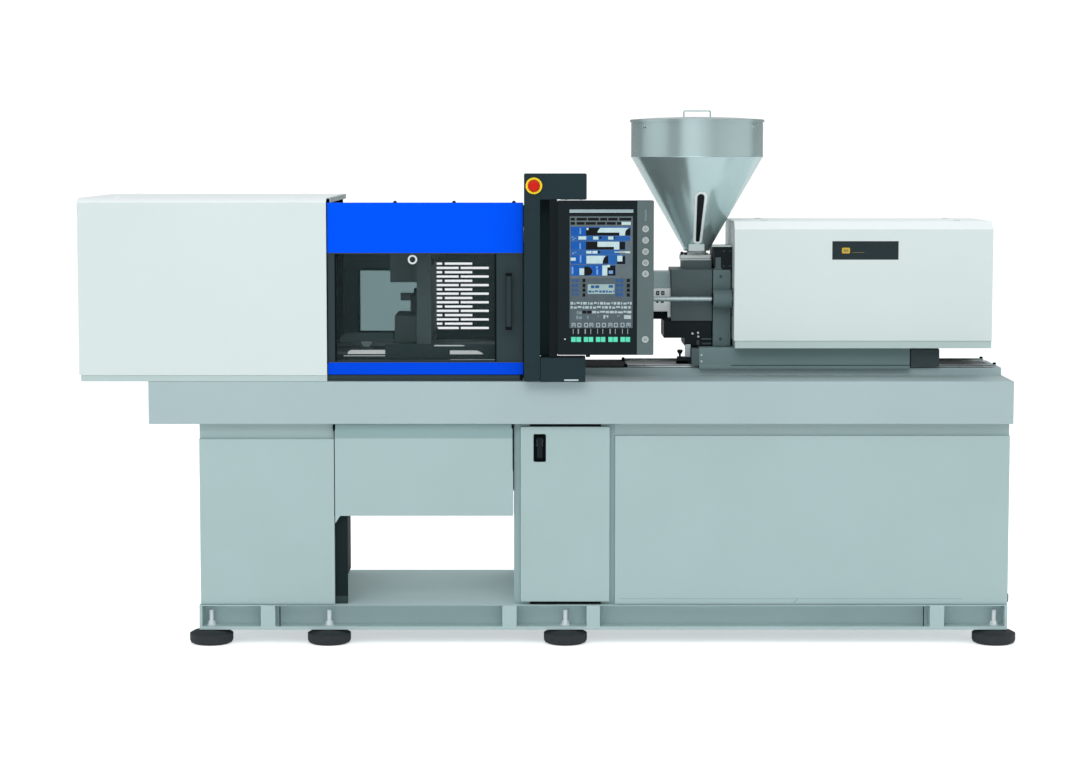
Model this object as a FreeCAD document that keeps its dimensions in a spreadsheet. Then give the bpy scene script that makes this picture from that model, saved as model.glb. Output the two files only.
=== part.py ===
import FreeCAD, Part
import os
import re
import math
import Sketcher
from FreeCAD import Vector, Rotation, Placement

# Injection moulding machine.  Millimetres, +X to the right (injection end),
# +Y away from the operator, +Z up.  The origin is on the floor under the
# middle of the machine's overall box.

doc = FreeCAD.newDocument("moulding_machine")
sheet = doc.addObject("Spreadsheet::Sheet", "Sizes")
V = {}


def size(alias, value, note=""):
    n = len(V) + 1
    V[alias] = value
    sheet.set("A%d" % n, alias)
    sheet.set("B%d" % n, "%g" % value)
    if note:
        sheet.set("C%d" % n, note)
    sheet.setAlias("B%d" % n, alias)


WORD = re.compile(r"[A-Za-z_][A-Za-z_0-9]*")


def ex(text):
    # a size expression: every word that is an alias reads the sheet
    return WORD.sub(lambda m: "Sizes." + m.group(0) if m.group(0) in V else m.group(0), text)


def val(e):
    # the number that a size expression stands for
    if not isinstance(e, str):
        return float(e)
    total = 0.0
    expr = WORD.sub(lambda m: repr(float(V[m.group(0)])), e)
    return number(expr)


def number(expr):
    # adds, subtracts, multiplies and divides, with brackets
    toks = re.findall(r"\d+\.?\d*(?:[eE][-+]?\d+)?|[-+*/()]", expr)
    pos = [0]

    def peek():
        return toks[pos[0]] if pos[0] < len(toks) else None

    def take():
        pos[0] += 1
        return toks[pos[0] - 1]

    def factor():
        t = take()
        if t == "(":
            r = summ()
            take()
            return r
        if t == "-":
            return -factor()
        if t == "+":
            return factor()
        return float(t)

    def term():
        r = factor()
        while peek() in ("*", "/"):
            if take() == "*":
                r *= factor()
            else:
                r /= factor()
        return r

    def summ():
        r = term()
        while peek() in ("+", "-"):
            if take() == "+":
                r += term()
            else:
                r -= term()
        return r

    return summ()


def bind(obj, prop, e):
    if isinstance(e, str):
        obj.setExpression(prop, ex(e))
    else:
        parts = prop.split(".")
        if parts[0] == "Placement":
            p = obj.Placement
            setattr(p.Base, parts[2], float(e))
            obj.Placement = p
        else:
            setattr(obj, prop, float(e))


def join(a, sign, b):
    if isinstance(a, str) or isinstance(b, str):
        return "(%s) %s (%s)" % (a, sign, b)
    return a - b if sign == "-" else a + b


COUNT = [0]


def oname(hint):
    COUNT[0] += 1
    return "%s_%03d" % (hint, COUNT[0])


def place(obj, x, y, z):
    bind(obj, "Placement.Base.x", x)
    bind(obj, "Placement.Base.y", y)
    bind(obj, "Placement.Base.z", z)
    return obj


def box(x0, x1, y0, y1, z0, z1, hint="block"):
    o = doc.addObject("Part::Box", oname(hint))
    bind(o, "Length", join(x1, "-", x0))
    bind(o, "Width", join(y1, "-", y0))
    bind(o, "Height", join(z1, "-", z0))
    return place(o, x0, y0, z0)


AXES = {"x": Rotation(Vector(0, 1, 0), 90), "y": Rotation(Vector(1, 0, 0), -90), "z": Rotation()}


def cyl(axis, x, y, z, r, l, hint="round"):
    # a cylinder that starts at x, y, z and runs l along +axis
    o = doc.addObject("Part::Cylinder", oname(hint))
    bind(o, "Radius", r)
    bind(o, "Height", l)
    o.Placement = Placement(Vector(0, 0, 0), AXES[axis])
    return place(o, x, y, z)


def cone(axis, x, y, z, r1, r2, l, hint="cone"):
    o = doc.addObject("Part::Cone", oname(hint))
    bind(o, "Radius1", r1)
    bind(o, "Radius2", r2)
    bind(o, "Height", l)
    o.Placement = Placement(Vector(0, 0, 0), AXES[axis])
    return place(o, x, y, z)


def prism(axis, x, y, z, r, l, sides=6, hint="hexagon"):
    o = doc.addObject("Part::Prism", oname(hint))
    o.Polygon = sides
    bind(o, "Circumradius", r)
    bind(o, "Height", l)
    o.Placement = Placement(Vector(0, 0, 0), AXES[axis])
    return place(o, x, y, z)


def fuse(items, hint="joined"):
    o = doc.addObject("Part::MultiFuse", oname(hint))
    o.Shapes = items
    o.Refine = True
    return o


def group(items, hint="set"):
    o = doc.addObject("Part::Compound", oname(hint))
    o.Links = items
    return o


def cut(base, tools, hint="cut"):
    o = doc.addObject("Part::Cut", oname(hint))
    o.Base = base
    o.Tool = tools[0] if len(tools) == 1 else fuse(tools)
    o.Refine = True
    return o


def fillet(base, r, pick, hint="rounded"):
    # rounds the edges that pick(edge) names
    doc.recompute()
    o = doc.addObject("Part::Fillet", oname(hint))
    o.Base = base
    rv = val(r)
    o.Edges = [(i + 1, rv, rv) for i, e in enumerate(base.Shape.Edges) if pick(e)]
    assert o.Edges, hint
    return o


def chamfer(base, r, pick, hint="bevelled"):
    doc.recompute()
    o = doc.addObject("Part::Chamfer", oname(hint))
    o.Base = base
    rv = val(r)
    o.Edges = [(i + 1, rv, rv) for i, e in enumerate(base.Shape.Edges) if pick(e)]
    assert o.Edges, hint
    return o


def along(e, axis):
    # true for a straight edge that runs along the axis
    if len(e.Vertexes) != 2:
        return False
    d = e.Vertexes[1].Point - e.Vertexes[0].Point
    k = {"x": 0, "y": 1, "z": 2}[axis]
    return d.Length > 1e-6 and abs(d[k]) > 0.999 * d.Length


def mid(e):
    return e.BoundBox.Center


def body(name):
    return doc.addObject("PartDesign::Body", name)


def origin_plane(b, role):
    for f in b.Origin.OriginFeatures:
        if f.Role == role:
            return f
    raise RuntimeError(role)


def sketch(b, role, offset, hint="Sketch"):
    sk = b.newObject("Sketcher::SketchObject", oname(hint))
    sk.AttachmentSupport = [(origin_plane(b, role), "")]
    sk.MapMode = "FlatFace"
    if isinstance(offset, str):
        sk.setExpression("AttachmentOffset.Base.z", ex(offset))
    else:
        sk.AttachmentOffset = Placement(Vector(0, 0, offset), Rotation())
    return sk


def outline(sk, pts):
    # a closed outline; each corner is held from the sketch's origin
    n0 = sk.GeometryCount
    n = len(pts)
    ps = [Vector(val(a), val(b), 0) for a, b in pts]
    for i in range(n):
        sk.addGeometry(Part.LineSegment(ps[i], ps[(i + 1) % n]), False)
    for i in range(n):
        sk.addConstraint(Sketcher.Constraint("Coincident", n0 + i, 2, n0 + (i + 1) % n, 1))
    for i in range(n):
        for kind, e in (("DistanceX", pts[i][0]), ("DistanceY", pts[i][1])):
            k = sk.addConstraint(Sketcher.Constraint(kind, -1, 1, n0 + i, 1, val(e)))
            if isinstance(e, str):
                sk.setExpression("Constraints[%d]" % k, ex(e))


def circle(sk, x, y, r):
    i = sk.addGeometry(Part.Circle(Vector(val(x), val(y), 0), Vector(0, 0, 1), val(r)), False)
    for kind, e in (("DistanceX", x), ("DistanceY", y)):
        k = sk.addConstraint(Sketcher.Constraint(kind, -1, 1, i, 3, val(e)))
        if isinstance(e, str):
            sk.setExpression("Constraints[%d]" % k, ex(e))
    k = sk.addConstraint(Sketcher.Constraint("Radius", i, val(r)))
    if isinstance(r, str):
        sk.setExpression("Constraints[%d]" % k, ex(r))


def rect(x0, x1, y0, y1):
    return [(x0, y0), (x1, y0), (x1, y1), (x0, y1)]


def pad(b, sk, length, flip=False, hint="Pad"):
    o = b.newObject("PartDesign::Pad", oname(hint))
    o.Profile = sk
    bind(o, "Length", length)
    o.Reversed = flip
    b.Tip = o
    return o


def pocket(b, sk, length=None, flip=False, hint="Pocket"):
    o = b.newObject("PartDesign::Pocket", oname(hint))
    o.Profile = sk
    if length is None:
        o.Type = 1
        o.Midplane = False
    else:
        bind(o, "Length", length)
    o.Reversed = flip
    b.Tip = o
    return o


def revolve(b, sk, hint="Revolution"):
    o = b.newObject("PartDesign::Revolution", oname(hint))
    o.Profile = sk
    o.ReferenceAxis = (sk, ["V_Axis"])
    o.Angle = 360
    b.Tip = o
    return o


NODES = []


def node(name, obj):
    obj.Label = name
    NODES.append(obj)
    return obj


# driving sizes
size("yc", 25, "machine centre line")
size("zc", 1262, "clamp and injection axis height")
size("pad_r", 80)
size("pad_z", 54)
size("pad_x1", -1254)
size("pad_x2", -818)
size("pad_x3", 56)
size("pad_x4", 1642)
size("pad_yf", -350)
size("pad_yr", 395)
size("frame_x0", -1294)
size("frame_x1", 1686)
size("frame_yf", -385)
size("frame_yr", 435)
size("frame_top", 146)
size("web_in", 65)
size("bed_x0", -1471)
size("bed_x1", 1696)
size("bed_yf", -395)
size("bed_yr", 445)
size("bed_z0", 818)
size("bed_z1", 975)
size("rail_base_z", 1005)
size("cab_yf", -355)
size("cab_yr", 405)
size("cab_l0", -1290)
size("cab_l1", -795)
size("cab_r0", -134)
size("cab_r1", 1688)
size("panel_yf", -372)
size("sheet_t", 3)

# levelling pads: cast feet with a rounded lower edge, two rows of four
FEET = [(a, b) for a in ("pad_x1", "pad_x2", "pad_x3", "pad_x4") for b in ("pad_yf", "pad_yr")]
pads = []
for fx, fy in FEET:
    b = body(oname("foot"))
    sk = sketch(b, "XZ_Plane", 0)
    outline(sk, [(0, 0), (66, 0), ("pad_r - 4", 5), ("pad_r", 14), ("pad_r", 38), (66, 46), (34, "pad_z"), (0, "pad_z")])
    revolve(b, sk)
    place(b, fx, fy, 0)
    hole = cyl("z", fx, fy, 12, 8.05, 60)
    pads.append(cut(b, [hole]))
node("levelling_pads", group(pads))

# levelling studs with a lower and an upper nut each
studs = []
for fx, fy in FEET:
    studs.append(fuse([
        cyl("z", fx, fy, 12, 8, 112),
        prism("z", fx, fy, 69, 14, 13),
        cyl("z", fx, fy, 66, 17, 4),
    ]))
node("levelling_studs", group(studs))

# base frame: two C beams with the open side out, end and cross members, flush
# posts in the recess, and a deck plate that also catches what the chute drops
def post(x0, x1):
    return [box(x0, x1, "frame_yf", "frame_yf + web_in + 5", 60, 145), box(x0, x1, "frame_yr - web_in - 5", "frame_yr", 60, 145)]

members = [
    box("frame_x0", "frame_x1", "frame_yf", "frame_yf + 110", "pad_z", "pad_z + 12"),
    box("frame_x0", "frame_x1", "frame_yr - 110", "frame_yr", "pad_z", "pad_z + 12"),
    box("frame_x0", "frame_x1", "frame_yf", "frame_yr", "frame_top - 3", "frame_top"),
    box("frame_x0", "frame_x1", "frame_yf + web_in", "frame_yr - web_in", "frame_top - 10", "frame_top - 2"),
    box("frame_x0", "frame_x1", "frame_yf + web_in", "frame_yf + web_in + 10", "pad_z", "frame_top"),
    box("frame_x0", "frame_x1", "frame_yr - web_in - 10", "frame_yr - web_in", "pad_z", "frame_top"),
    box("frame_x0", "frame_x0 + 10", "frame_yf", "frame_yr", "pad_z", "frame_top"),
    box("frame_x1 - 10", "frame_x1", "frame_yf", "frame_yr", "pad_z", "frame_top"),
]
for x0, x1 in ((-1068, -1015), (-177, -124), (134, 183), (1400, 1453)):
    members += post(x0, x1)
for xm in (-795, -134, 620, 1100):
    members.append(box(xm - 5, xm + 5, "frame_yf + web_in", "frame_yr - web_in", "pad_z", "frame_top"))
holes = [cyl("z", fx, fy, 40, 9, 40) for fx, fy in FEET]
node("base_frame", cut(fuse(members), holes))

# bed: a deep welded box with the mould drop opening through it and the raised
# base of the injection rails on top
size("drop_x0", -616)
size("drop_x1", -196)
size("drop_y0", -205)
size("drop_y1", 255)
shell = cut(box("bed_x0", "bed_x1", "bed_yf", "bed_yr", "bed_z0", "bed_z1"), [
    box("bed_x0 + 20", "drop_x0 - 15", "bed_yf + 20", "bed_yr - 20", "bed_z0 - 5", "bed_z1 - 25"),
    box("drop_x1 + 15", 700, "bed_yf + 20", "bed_yr - 20", "bed_z0 - 5", "bed_z1 - 25"),
    box(715, "bed_x1 - 20", "bed_yf + 20", "bed_yr - 20", "bed_z0 - 5", "bed_z1 - 25"),
    box("drop_x0", "drop_x1", "drop_y0", "drop_y1", "bed_z0 - 5", "bed_z1 + 5"),
    box("drop_x0", "drop_x1", "bed_yf + 20", "drop_y0 - 15", "bed_z0 - 5", "bed_z1 - 25"),
    box("drop_x0", "drop_x1", "drop_y1 + 15", "bed_yr - 20", "bed_z0 - 5", "bed_z1 - 25"),
])
raised = cut(box(-16, 1692, "yc - 170", "yc + 170", "bed_z1 - 2", "rail_base_z"), [
    box(4, 1668, "yc - 110", "yc + 110", "bed_z1", "rail_base_z + 5"),
])
bed_all = fuse([shell, raised])
node("bed", bed_all)

# cabinets under the bed: folded sheet boxes, open to the bed above
def cabinet(x0, x1, extra):
    outer = box(x0, x1, "cab_yf", "cab_yr", "frame_top", "bed_z0")
    inner = box("%s + sheet_t" % x0, "%s - sheet_t" % x1, "cab_yf + sheet_t", "cab_yr - sheet_t", "frame_top + sheet_t", "bed_z0 + 5")
    return cut(outer, [inner] + extra)

node("left_cabinet", cabinet("cab_l0", "cab_l1", []))
size("door_x0", -109)
size("door_x1", 218)
size("door_z0", 157)
size("door_z1", 806)
node("right_cabinet", cabinet("cab_r0", "cab_r1", [box("door_x0 + 25", "door_x1 - 25", "cab_yf - 5", "cab_yf + 10", "door_z0 + 25", "door_z1 - 25")]))

# cover panels that stand proud of the cabinets, folded back at their edges
def proud(x0, x1, z0, z1):
    t = "sheet_t"
    return cut(box(x0, x1, "panel_yf", "cab_yf", z0, z1), [box(x0 + 4, x1 - 4, "panel_yf + sheet_t", "cab_yf + 5", z0 + 4, z1 - 4)])

def soften(o, r=2):
    return fillet(o, r, lambda e: along(e, "z") and mid(e).y < V["panel_yf"] + 0.5)

node("left_panel", soften(proud(-1290, -795, 148, 760)))
node("right_panel", soften(proud(238, 1688, 148, 772)))

# part chute covers across the front and the rear of the mould area
size("chute_x0", -792)
size("chute_x1", -137)
size("chute_z0", 476)
size("chute_z1", 815)

def chute(front):
    b = body(oname("chute"))
    sk = sketch(b, "XY_Plane", "chute_z0")
    if front:
        y0, y1, y2 = "panel_yf", "panel_yf + sheet_t", "panel_yf + 62"
    else:
        y0, y1, y2 = "cab_yr + 17", "cab_yr + 17 - sheet_t", "cab_yr - 45"
    outline(sk, [("chute_x0", y0), ("chute_x1", y0), ("chute_x1", y2), ("chute_x1 - sheet_t", y2), ("chute_x1 - sheet_t", y1), ("chute_x0 + sheet_t", y1), ("chute_x0 + sheet_t", y2), ("chute_x0", y2)])
    pad(b, sk, "chute_z1 - chute_z0")
    return b

node("chute_cover_front", chute(True))
node("chute_cover_rear", chute(False))

# cabinet door on a vertical hinge at its right edge, with a recess for the latch
leaf = cut(box("door_x0", "door_x1", "panel_yf", "cab_yf - 1", "door_z0", "door_z1"), [
    box("door_x0 + 4", "door_x1 - 4", "panel_yf + sheet_t", "cab_yf + 5", "door_z0 + 4", "door_z1 - 4"),
])
well = cut(box(-65, -13, "panel_yf + 1", "cab_yf - 1", 673, 782), [box(-62, -16, "panel_yf - 5", "cab_yf - 4", 676, 779)])
leaf = cut(fuse([leaf, well]), [box(-62, -16, "panel_yf - 5", "cab_yf - 4", 676, 779)])
node("cabinet_door", leaf)
# latch: a flat paddle on a short spindle in the recess
node("door_latch", fuse([
    box(-49, -29, "panel_yf + 2", "panel_yf + 8", 690, 765),
    cyl("y", -39, "panel_yf + 5", 745, 9, 7.5),
]))

# ---- clamp end ----
size("cover_x0", -1722)
size("cover_x1", -816)
size("cover_yf", -399)
size("cover_yr", 449)
size("cover_z1", 1644)

# clamp cover: folded sheet, open below and towards the mould area, with a
# bevel along both top edges and a lower lip that is set in
def roof(x0, x1, inset, zb, lean):
    # closed outline of the cover's section, drawn from the rear
    return [("cover_yf + %g" % inset, zb), ("cover_yf + %g" % inset, "cover_z1 - 16 - %g" % (inset * 0.4)), ("cover_yf + 30 + %g" % (inset * 0.4), "cover_z1 - %g" % inset),
            ("cover_yr - 30 - %g" % (inset * 0.4), "cover_z1 - %g" % inset), ("cover_yr - %g" % inset, "cover_z1 - 16 - %g" % (inset * 0.4)), ("cover_yr - %g" % inset, zb)]

cc = body("clamp_cover_body")
sk = sketch(cc, "YZ_Plane", "cover_x0")
outline(sk, roof(0, 0, 0, 998, 0))
pad(cc, sk, "cover_x1 - cover_x0")
sk = sketch(cc, "YZ_Plane", "cover_x0 + sheet_t")
outline(sk, roof(0, 0, 3, 990, 0))
pocket(cc, sk, "cover_x1 - cover_x0", flip=True)
lip = cut(box("cover_x0 + 6", "cover_x1", "cover_yf + 5", "cover_yr - 5", "bed_z1", 999), [
    box("cover_x0 + 9", "cover_x1 + 5", "cover_yf + 8", "cover_yr - 8", "bed_z1 - 5", 1010)])
lip_turn = cut(box("cover_x0 + 1", "cover_x1", "cover_yf + 1", "cover_yr - 1", 998, 1000), [
    box("cover_x0 + 9", "cover_x1 + 5", "cover_yf + 8", "cover_yr - 8", 990, 1010)])
node("clamp_cover", fuse([cc, lip, lip_turn]))

# fixed guard over the mould area, next to the cover
node("top_guard", fuse([
    box("cover_x1", -803, -350, 435, 1640, 1644),
    box(-807, -803, -350, 435, 1626, 1641),
]))

# tracks under both doors
node("door_tracks", group([
    cut(box(-1442, -109, -386, -352, "bed_z1", 998), [box(-1450, -100, -374, -364, 990, 1005)]),
    cut(box(-1442, -109, 402, 436, "bed_z1", 998), [box(-1450, -100, 414, 424, 990, 1005)]),
]))

# front sliding door: dark steel frame with a window, a raised upper board, a
# lower board, a grip and a runner in the track
size("fd_x0", -814)
size("fd_x1", -99)
size("fd_z0", 1000)
size("fd_z1", 1627)
size("fd_yf", -391)
size("win_x0", -781)
size("win_x1", -203)
size("win_z0", 1046)
size("win_z1", 1444)
frame_blank = cut(box("fd_x0", "fd_x1", "fd_yf + 4", "fd_yf + 34", "fd_z0", "fd_z1 - 3"), [
    box("win_x0", "win_x1", "fd_yf - 5", "fd_yf + 40", "win_z0 + 6", "win_z1 - 4"),
    box("win_x0 - 12", "win_x1 + 12", "fd_yf + 10", "fd_yf + 17", "win_z0 - 6", "win_z1 + 8"),
])
frame_edges = fillet(frame_blank, 3, lambda e: along(e, "z") and abs(mid(e).y - (V["fd_yf"] + 4)) < 0.5 and (mid(e).x < V["fd_x0"] + 1 or mid(e).x > V["fd_x1"] - 1))
node("front_door_frame", fuse([frame_edges, box(-760, -160, "fd_yf + 18", "fd_yf + 26", 992, 1001)]))
hb = box("fd_x0 + 1", "fd_x1 - 1", "fd_yf", "fd_yf + 4", "win_z1", "fd_z1")
node("front_door_boards", group([
    fuse([hb, box("fd_x0 + 1", "fd_x1 - 1", "fd_yf", "fd_yf + 34", "fd_z1 - 3", "fd_z1")]),
    box("fd_x0 + 1", "fd_x1", "fd_yf", "fd_yf + 4", "fd_z0", "win_z0"),
]))
node("front_door_window", box("win_x0 - 11", "win_x1 + 11", "fd_yf + 11", "fd_yf + 16", "win_z0 - 5", "win_z1 + 7"))
grip = fuse([
    box(-162, -142, "fd_yf - 31", "fd_yf - 21", 1165, 1373),
    box(-160, -144, "fd_yf - 24", "fd_yf + 4", 1185, 1205),
    box(-160, -144, "fd_yf - 24", "fd_yf + 4", 1333, 1353),
])
node("front_door_handle", grip)

# rear sliding door: one folded sheet with a window and rows of air slots
size("rd_yr", 441)
slots = []
for i in range(16):
    z = 1364 - 17 * i
    if i % 2 == 0:
        spans = ((-447, -425), (-415, -306))
    else:
        spans = ((-447, -360), (-352, -241))
    for a, c in spans:
        slots.append(box(a, c, "rd_yr - 10", "rd_yr + 5", z, z + 9))
slots.append(box(-451, -332, "rd_yr - 10", "rd_yr + 5", 1037, 1046))
size("rd_z1", 1600)
rd = cut(box("fd_x0", "fd_x1", "rd_yr - 36", "rd_yr", 1022, "rd_z1"), [
    box("fd_x0 + 3", "fd_x1 - 3", "rd_yr - 40", "rd_yr - 3", 1025, "rd_z1 - 3"),
    box(-749, -475, "rd_yr - 10", "rd_yr + 5", 1103, 1341),
] + [group(slots)])
node("rear_door", fuse([rd, box(-760, -160, "rd_yr - 26", "rd_yr - 18", 992, 1023)]))
node("rear_door_window", box(-760, -464, "rd_yr - 7", "rd_yr - 3", 1092, 1352))
node("rear_door_handle", fuse([
    box(-162, -142, "rd_yr + 24", "rd_yr + 34", 1165, 1373),
    box(-160, -144, "rd_yr", "rd_yr + 26", 1185, 1205),
    box(-160, -144, "rd_yr", "rd_yr + 26", 1333, 1353),
]))

# clamp: two tie-bar pairs between the fixed platen and the tail stock
size("bar_r", 25)
size("bar_dy", 205)
size("bar_dz", 205)
BARS = [("yc + bar_dy", "zc + bar_dz"), ("yc - bar_dy", "zc + bar_dz"), ("yc + bar_dy", "zc - bar_dz"), ("yc - bar_dy", "zc - bar_dz")]
size("fix_x0", -187)
size("fix_x1", -67)
size("plat_y0", -235)
size("plat_y1", 285)
size("plat_z0", 985)
size("plat_z1", 1520)

def platen(x0, x1, bore, extra_cuts=()):
    b = body(oname("platen"))
    sk = sketch(b, "YZ_Plane", x0)
    outline(sk, [("plat_y0", "plat_z0 + 18"), ("plat_y0 + 18", "plat_z0"), ("plat_y1 - 18", "plat_z0"), ("plat_y1", "plat_z0 + 18"), ("plat_y1", "plat_z1 - 40"), ("plat_y1 - 40", "plat_z1"), ("plat_y0 + 40", "plat_z1"), ("plat_y0", "plat_z1 - 40")])
    for by, bz in BARS:
        circle(sk, by, bz, bore)
    pad(b, sk, "(%s) - (%s)" % (x1, x0))
    return b

# mould fixing holes: four M16 tapped holes round the axis on each platen
size("tap_r", 7)
size("tap_y", 140)
size("tap_z", 105)
def taps(x, l):
    return [cyl("x", x, "yc + %g * tap_y" % sy, "zc + %g * tap_z" % sz, "tap_r", l) for sy in (-1, 1) for sz in (-1, 1)]

fp = cut(platen("fix_x0", "fix_x1", "bar_r + 0.05"), taps("fix_x0 - 1", 36) + [
    cyl("x", "fix_x0 - 1", "yc", "zc", 50, 13),
    cyl("x", "fix_x0 - 1", "yc", "zc", 32, 200),
    cone("x", "fix_x0 + 60", "yc", "zc", 32, 62, "fix_x1 - fix_x0 - 60"),
])
node("fixed_platen", fuse([fp, box("fix_x0 + 8", "fix_x1", "plat_y0 - 10", "plat_y1 + 10", "bed_z1", "plat_z0 + 1")]))

# tie bars with the shoulder nuts behind the fixed platen
bars = []
for by, bz in BARS:
    bars.append(fuse([cyl("x", -1306, by, bz, "bar_r", "fix_x1 + 12 + 1306"), cyl("x", "fix_x1", by, bz, 40, 28)]))
node("tie_bars", group(bars))

# moving platen: face plate, two lugs behind it and the ejector boss
size("mov_x0", -495)
size("mov_x1", -442)
size("pin_x", -640, "toggle pins of the moving platen at rest")
size("pin_dz", 235, "toggle pins above and below the axis")
size("link_l", 190)
size("tail_pin_x", -1020)
mp = platen("mov_x0", "mov_x1", "bar_r + 0.3")
def lug(z0, z1, x0, y0, y1):
    return box(x0, "mov_x0 + 1", y0, y1, z0, z1)
mv = fuse([
    mp,
    lug(1324, 1440, -599, "yc - 150", "yc + 150"),
    lug(1100, 1198, -583, "yc - 150", "yc + 150"),
    box(-665, "mov_x0 + 1", "yc - 60", "yc - 30", "zc + pin_dz - 32", "zc + pin_dz + 32"),
    box(-665, "mov_x0 + 1", "yc + 30", "yc + 60", "zc + pin_dz - 32", "zc + pin_dz + 32"),
    box(-665, "mov_x0 + 1", "yc - 60", "yc - 30", "zc - pin_dz - 32", "zc - pin_dz + 32"),
    box(-665, "mov_x0 + 1", "yc + 30", "yc + 60", "zc - pin_dz - 32", "zc - pin_dz + 32"),
    cyl("x", -517, "yc", "zc", 33, 25),
] + [
    box(-613, -373, y0, y1, "bed_z1 + 0.5", "plat_z0 + 50") for y0, y1 in (("yc - 256", "yc - 232"), ("yc + 232", "yc + 256"))
])
mv = cut(mv, taps("mov_x1 - 35", 40) + [
    cyl("x", -540, "yc", "zc", 15, 120),
    cyl("y", "pin_x", "yc - 70", "zc + pin_dz", 18.05, 140),
    cyl("y", "pin_x", "yc - 70", "zc - pin_dz", 18.05, 140),
])
node("moving_platen", mv)
# ejector rod in the platen's centre
node("ejector_rod", cyl("x", -568, "yc", "zc", 14.9, 113))

# tail stock with lugs towards the mould
size("tail_x0", -1240)
size("tail_x1", -1120)
tp = platen("tail_x0", "tail_x1", "bar_r + 0.3")
lugs = []
for s in (1, -1):
    for y0, y1 in (("yc - 60", "yc - 30"), ("yc + 30", "yc + 60")):
        lugs.append(box("tail_x1 - 1", "tail_pin_x + 25", y0, y1, "zc + %d * pin_dz - 32" % s, "zc + %d * pin_dz + 32" % s))
# the collars at the back hold the stock on the tie bars
collars = [cyl("x", "tail_x0 - 52", by, bz, 46, 53) for by, bz in BARS]
soles = [box("tail_x0", "tail_x1", y0, y1, "bed_z1 + 0.5", "plat_z0 + 30") for y0, y1 in (("yc - 250", "yc - 200"), ("yc + 200", "yc + 250"))]
tp = cut(fuse([tp] + lugs + collars + soles), [cyl("x", "tail_x0 - 60", by, bz, "bar_r + 0.3", 80) for by, bz in BARS] + [
    cyl("x", "tail_x0 - 5", "yc", "zc", 34, 200),
    cyl("y", "tail_pin_x", "yc - 70", "zc + pin_dz", 18.05, 140),
    cyl("y", "tail_pin_x", "yc - 70", "zc - pin_dz", 18.05, 140),
    box("tail_x0 + 20", "tail_x1 - 20", "plat_y0 + 90", "plat_y1 - 90", "zc + 60", "plat_z1 - 60"),
    box("tail_x0 + 20", "tail_x1 - 20", "plat_y0 + 90", "plat_y1 - 90", "plat_z0 + 60", "zc - 60"),
])
node("tail_stock", tp)
# clamp motor behind the tail stock and the screw that it turns
node("clamp_motor", fuse([
    box(-1500, -1330, "yc - 75", "yc + 75", "zc - 75", "zc + 75"),
    cyl("x", -1530, "yc", "zc", 62, 31),
    cut(cyl("x", -1331, "yc", "zc", 70, 91), [cyl("x", -1300, "yc", "zc", 34, 70)]),
    box(-1470, -1400, "yc - 30", "yc + 30", "zc + 74", "zc + 105"),
]))
node("clamp_screw", fuse([cyl("x", -1298, "yc", "zc", 20, 340), cyl("x", -1238, "yc", "zc", 33.6, 116)]))

# crosshead: a block with the screw's nut that runs on the screw
node("crosshead", cut(fuse([
    box(-1000, -960, "yc - 90", "yc + 90", "zc - 45", "zc + 45"),
    cyl("x", -1020, "yc", "zc", 38, 21),
]), [cyl("x", -1050, "yc", "zc", 20.05, 120)]))

# toggle links: each pair is straight at rest, the rear link's two plates run
# outside the single front link
def rear_link(s):
    z = "zc + %d * pin_dz" % s
    out = []
    for y0 in ("yc - 27", "yc + 15"):
        out.append(fuse([
            box("tail_pin_x", "tail_pin_x + link_l", y0, "%s + 12" % y0, "%s - 22" % z, "%s + 22" % z),
            cyl("y", "tail_pin_x", y0, z, 26, 12), cyl("y", "tail_pin_x + link_l", y0, z, 26, 12)]))
    out.append(cyl("y", "tail_pin_x", "yc - 66", z, 18, 132))
    return fuse(out + [box("tail_pin_x + 60", "tail_pin_x + 100", "yc - 16", "yc + 16", "%s - 20" % z, "%s + 20" % z)])

def front_link(s):
    z = "zc + %d * pin_dz" % s
    return fuse([
        box("pin_x - link_l", "pin_x", "yc - 14", "yc + 14", "%s - 22" % z, "%s + 22" % z),
        cyl("y", "pin_x - link_l", "yc - 14", z, 26, 28), cyl("y", "pin_x", "yc - 14", z, 26, 28),
        cyl("y", "pin_x", "yc - 66", z, 18, 132)])

node("toggle_rear_upper", rear_link(1))
node("toggle_front_upper", front_link(1))
node("toggle_rear_lower", rear_link(-1))
node("toggle_front_lower", front_link(-1))

# ---- operator panel ----
size("post_x0", -96)
size("post_x1", -38)
size("post_yf", -445)
size("post_yr", -353)
size("post_z1", 1731)
# panel post: an inverted L of folded steel that carries the panel's upper hinge
# and the emergency stop
pb = body("panel_post_body")
sk = sketch(pb, "XZ_Plane", "0 - post_yr")
outline(sk, [("post_x0", 980), ("post_x1", 980), ("post_x1", 1640), (131, 1640), (131, "post_z1"), ("post_x0", "post_z1")])
pad(pb, sk, "post_yr - post_yf")
hollow = box("post_x0 + 3", "post_x1 - 3", "post_yf + 3", "post_yr - 3", 1000, 1600)
post_all = fuse([pb, box("post_x1 - 2", 24, -372, -356, 1068, 1641)])
post_cut = cut(post_all, [hollow, cyl("z", 10, -427, 1630, 8.05, 40), cyl("y", -60, "post_yf - 5", 1689, 12, 40)])
node("panel_post", fillet(post_cut, 4, lambda e: along(e, "z") and mid(e).z > 1000 and abs(mid(e).y - V["post_yf"]) < 0.5 and (abs(mid(e).x - V["post_x0"]) < 1 or abs(mid(e).x - 131) < 1)))
node("panel_foot", cut(fillet(box(-42 + 6, 127, "post_yf", "post_yr", 977, 1066), 3, lambda e: along(e, "x") and mid(e).y < V["post_yf"] + 1), [
    cyl("z", 10, -427, 1040, 8.05, 40)]))
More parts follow.
